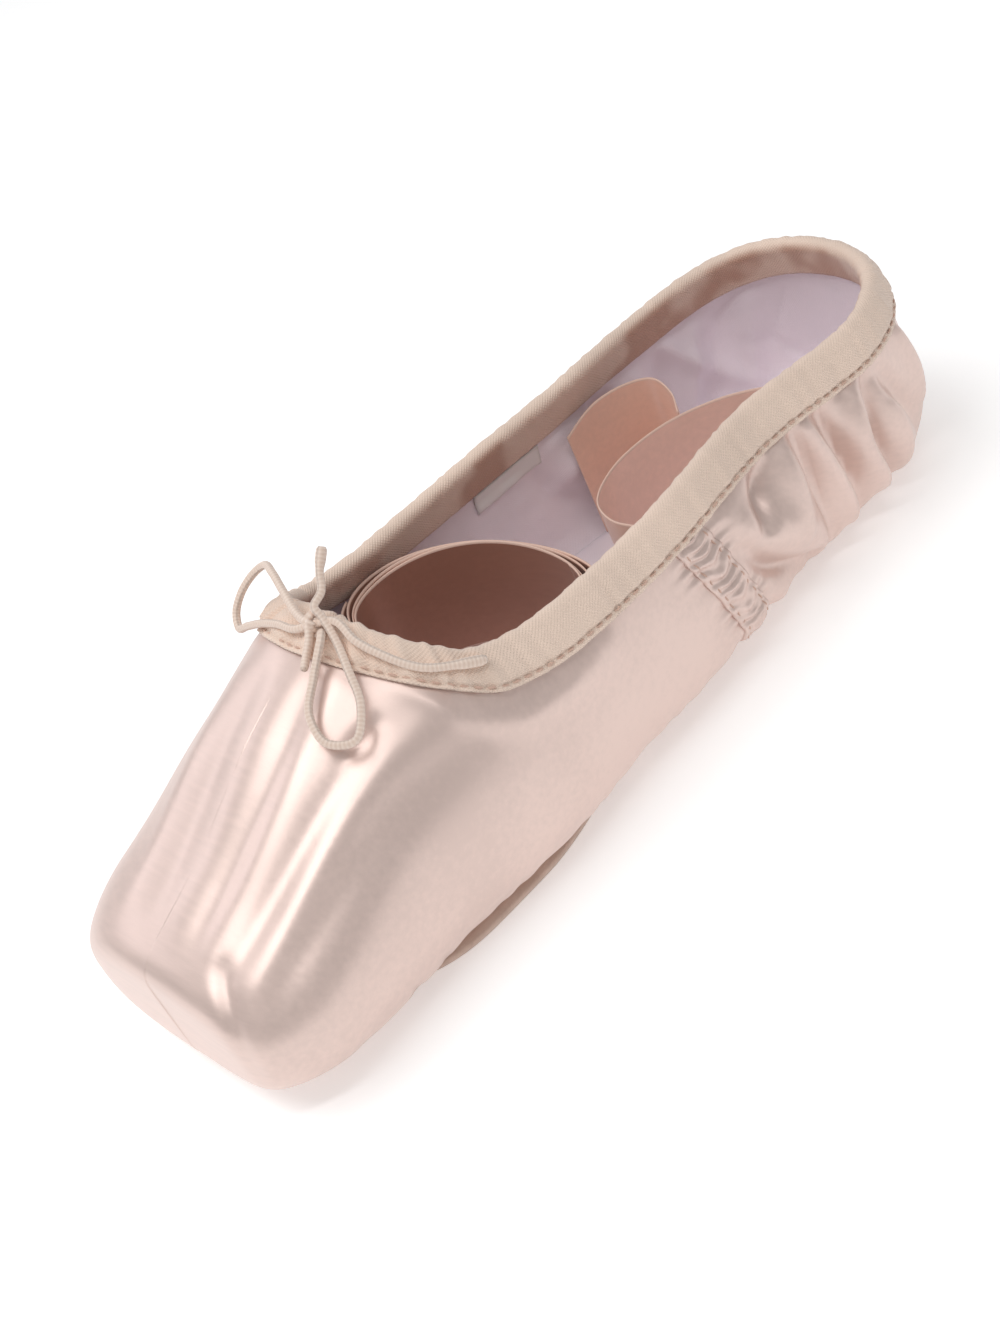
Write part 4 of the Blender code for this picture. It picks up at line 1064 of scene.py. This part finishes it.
for a in np.linspace(-0.2 * math.pi, 2.3 * math.pi, 60):
    wrap.append((0.95 * math.cos(a), 0.35 * (a / math.pi - 1.0), 0.80 * math.sin(a) + 0.1))
knot, _, knot_length = cord("drawstring_knot_wrap", wrap, 90, ("drawstring_knot",))
print("cords in mm:", round(far_length * 1000), round(near_length * 1000), round(knot_length * 1000))

# %% [markdown]
# ## Size tag
# A small bare tag is glued to the lining on the far side.

# %% Size tag
TAG = Finish("tag_cloth", (0.86, 0.85, 0.84), Roughness=0.6)
TAG_BACK, TAG_FRONT, TAG_TOP, TAG_BOTTOM = -32 * MM, -14 * MM, 1 * MM, 6 * MM
tag_rings = []
for x in np.linspace(TAG_BACK, TAG_FRONT, 19):
    line = trail(np.array([x, 0.0, CORE_HEIGHT]), fan((0.0, -1.0, 0.0)))
    total = measured(line)[-1]
    spots = total - BINDING_INNER_DROP - np.linspace(TAG_TOP, TAG_BOTTOM, 9)
    p = along_line(line, spots)
    n = normals(p)
    folds = 0.8 * relief(p, n, total - spots)
    depth = (WALL - folds)[:, None]
    tag_rings.append(np.vstack([p - (depth + 0.15 * MM) * n, (p - (depth + 0.45 * MM) * n)[::-1]]))
tube("size_tag", tag_rings, [TAG], False)

# %% [markdown]
# ## Floor, light and camera
# The shoe stands on a pale sweep under large soft lights. The camera looks from the toe's left, from
# about forty degrees up, and is rolled so that the toe points down to the left.

# %% Floor, light and camera
bpy.ops.mesh.primitive_plane_add(size=8)
floor = bpy.context.object
floor.name = "floor_sweep"
FLOOR = Finish("floor_paper", (0.93, 0.93, 0.93), Roughness=0.9, Emission_Color=(1.0, 1.0, 1.0, 1.0),
               Emission_Strength=0.32)
floor.data.materials.append(FLOOR.material)

world = bpy.data.worlds.new("studio")
bpy.context.scene.world = world
world.use_nodes = True
world.node_tree.nodes["Background"].inputs["Color"].default_value = (1.0, 1.0, 1.0, 1.0)
world.node_tree.nodes["Background"].inputs["Strength"].default_value = 0.42
bpy.context.scene.view_settings.view_transform = "Standard"


def softbox(name, place, aim, size, watts, long=None, colour=(1.0, 1.0, 1.0)):
    """A square lamp at a place, turned to what it lights, or a strip as long as given, laid along the shoe."""
    lamp = bpy.data.lights.new(name, "AREA")
    lamp.size, lamp.energy, lamp.color = long or size, watts, colour
    if long:
        lamp.shape, lamp.size_y = "RECTANGLE", size
    body = bpy.data.objects.new(name, lamp)
    body.location = place
    body.rotation_euler = (Vector(aim) - Vector(place)).to_track_quat("-Z", "Y").to_euler()
    bpy.context.scene.collection.objects.link(body)


softbox("key_light", (0.30, -0.20, 0.95), (0.02, 0, 0.02), 0.55, 3.0)
softbox("far_strip", (0.16, -0.60, 0.34), (0.06, 0, 0.03), 0.16, 0.75, 0.7, (0.96, 0.95, 1.0))
softbox("top_strip", (0.20, 0.22, 0.70), (0.06, 0, 0.03), 0.08, 1.2, 0.7)

CAMERA_PLACE = Vector((0.167, 0.275, 0.251))
CAMERA_TARGET = Vector((0.010, -0.005, 0.017))
CAMERA_UP = Vector((-0.64, -0.24, 0.73))
# The photograph's place and lens, aimed at the one shoe and drawn in closer so that it fills the picture
FOCAL_PIXELS, LONG_SIDE_PIXELS, CLOSER = 1449, 1333, 1.42
camera = bpy.data.cameras.new("camera")
camera.sensor_width = 36
camera.lens = CLOSER * FOCAL_PIXELS / LONG_SIDE_PIXELS * camera.sensor_width
ahead = (CAMERA_TARGET - CAMERA_PLACE).normalized()
right = ahead.cross(CAMERA_UP).normalized()
up = right.cross(ahead)
body = bpy.data.objects.new("camera", camera)
body.matrix_world = Matrix.Translation(CAMERA_PLACE) @ Matrix((right, up, -ahead)).transposed().to_4x4()
bpy.context.scene.collection.objects.link(body)
bpy.context.scene.camera = body
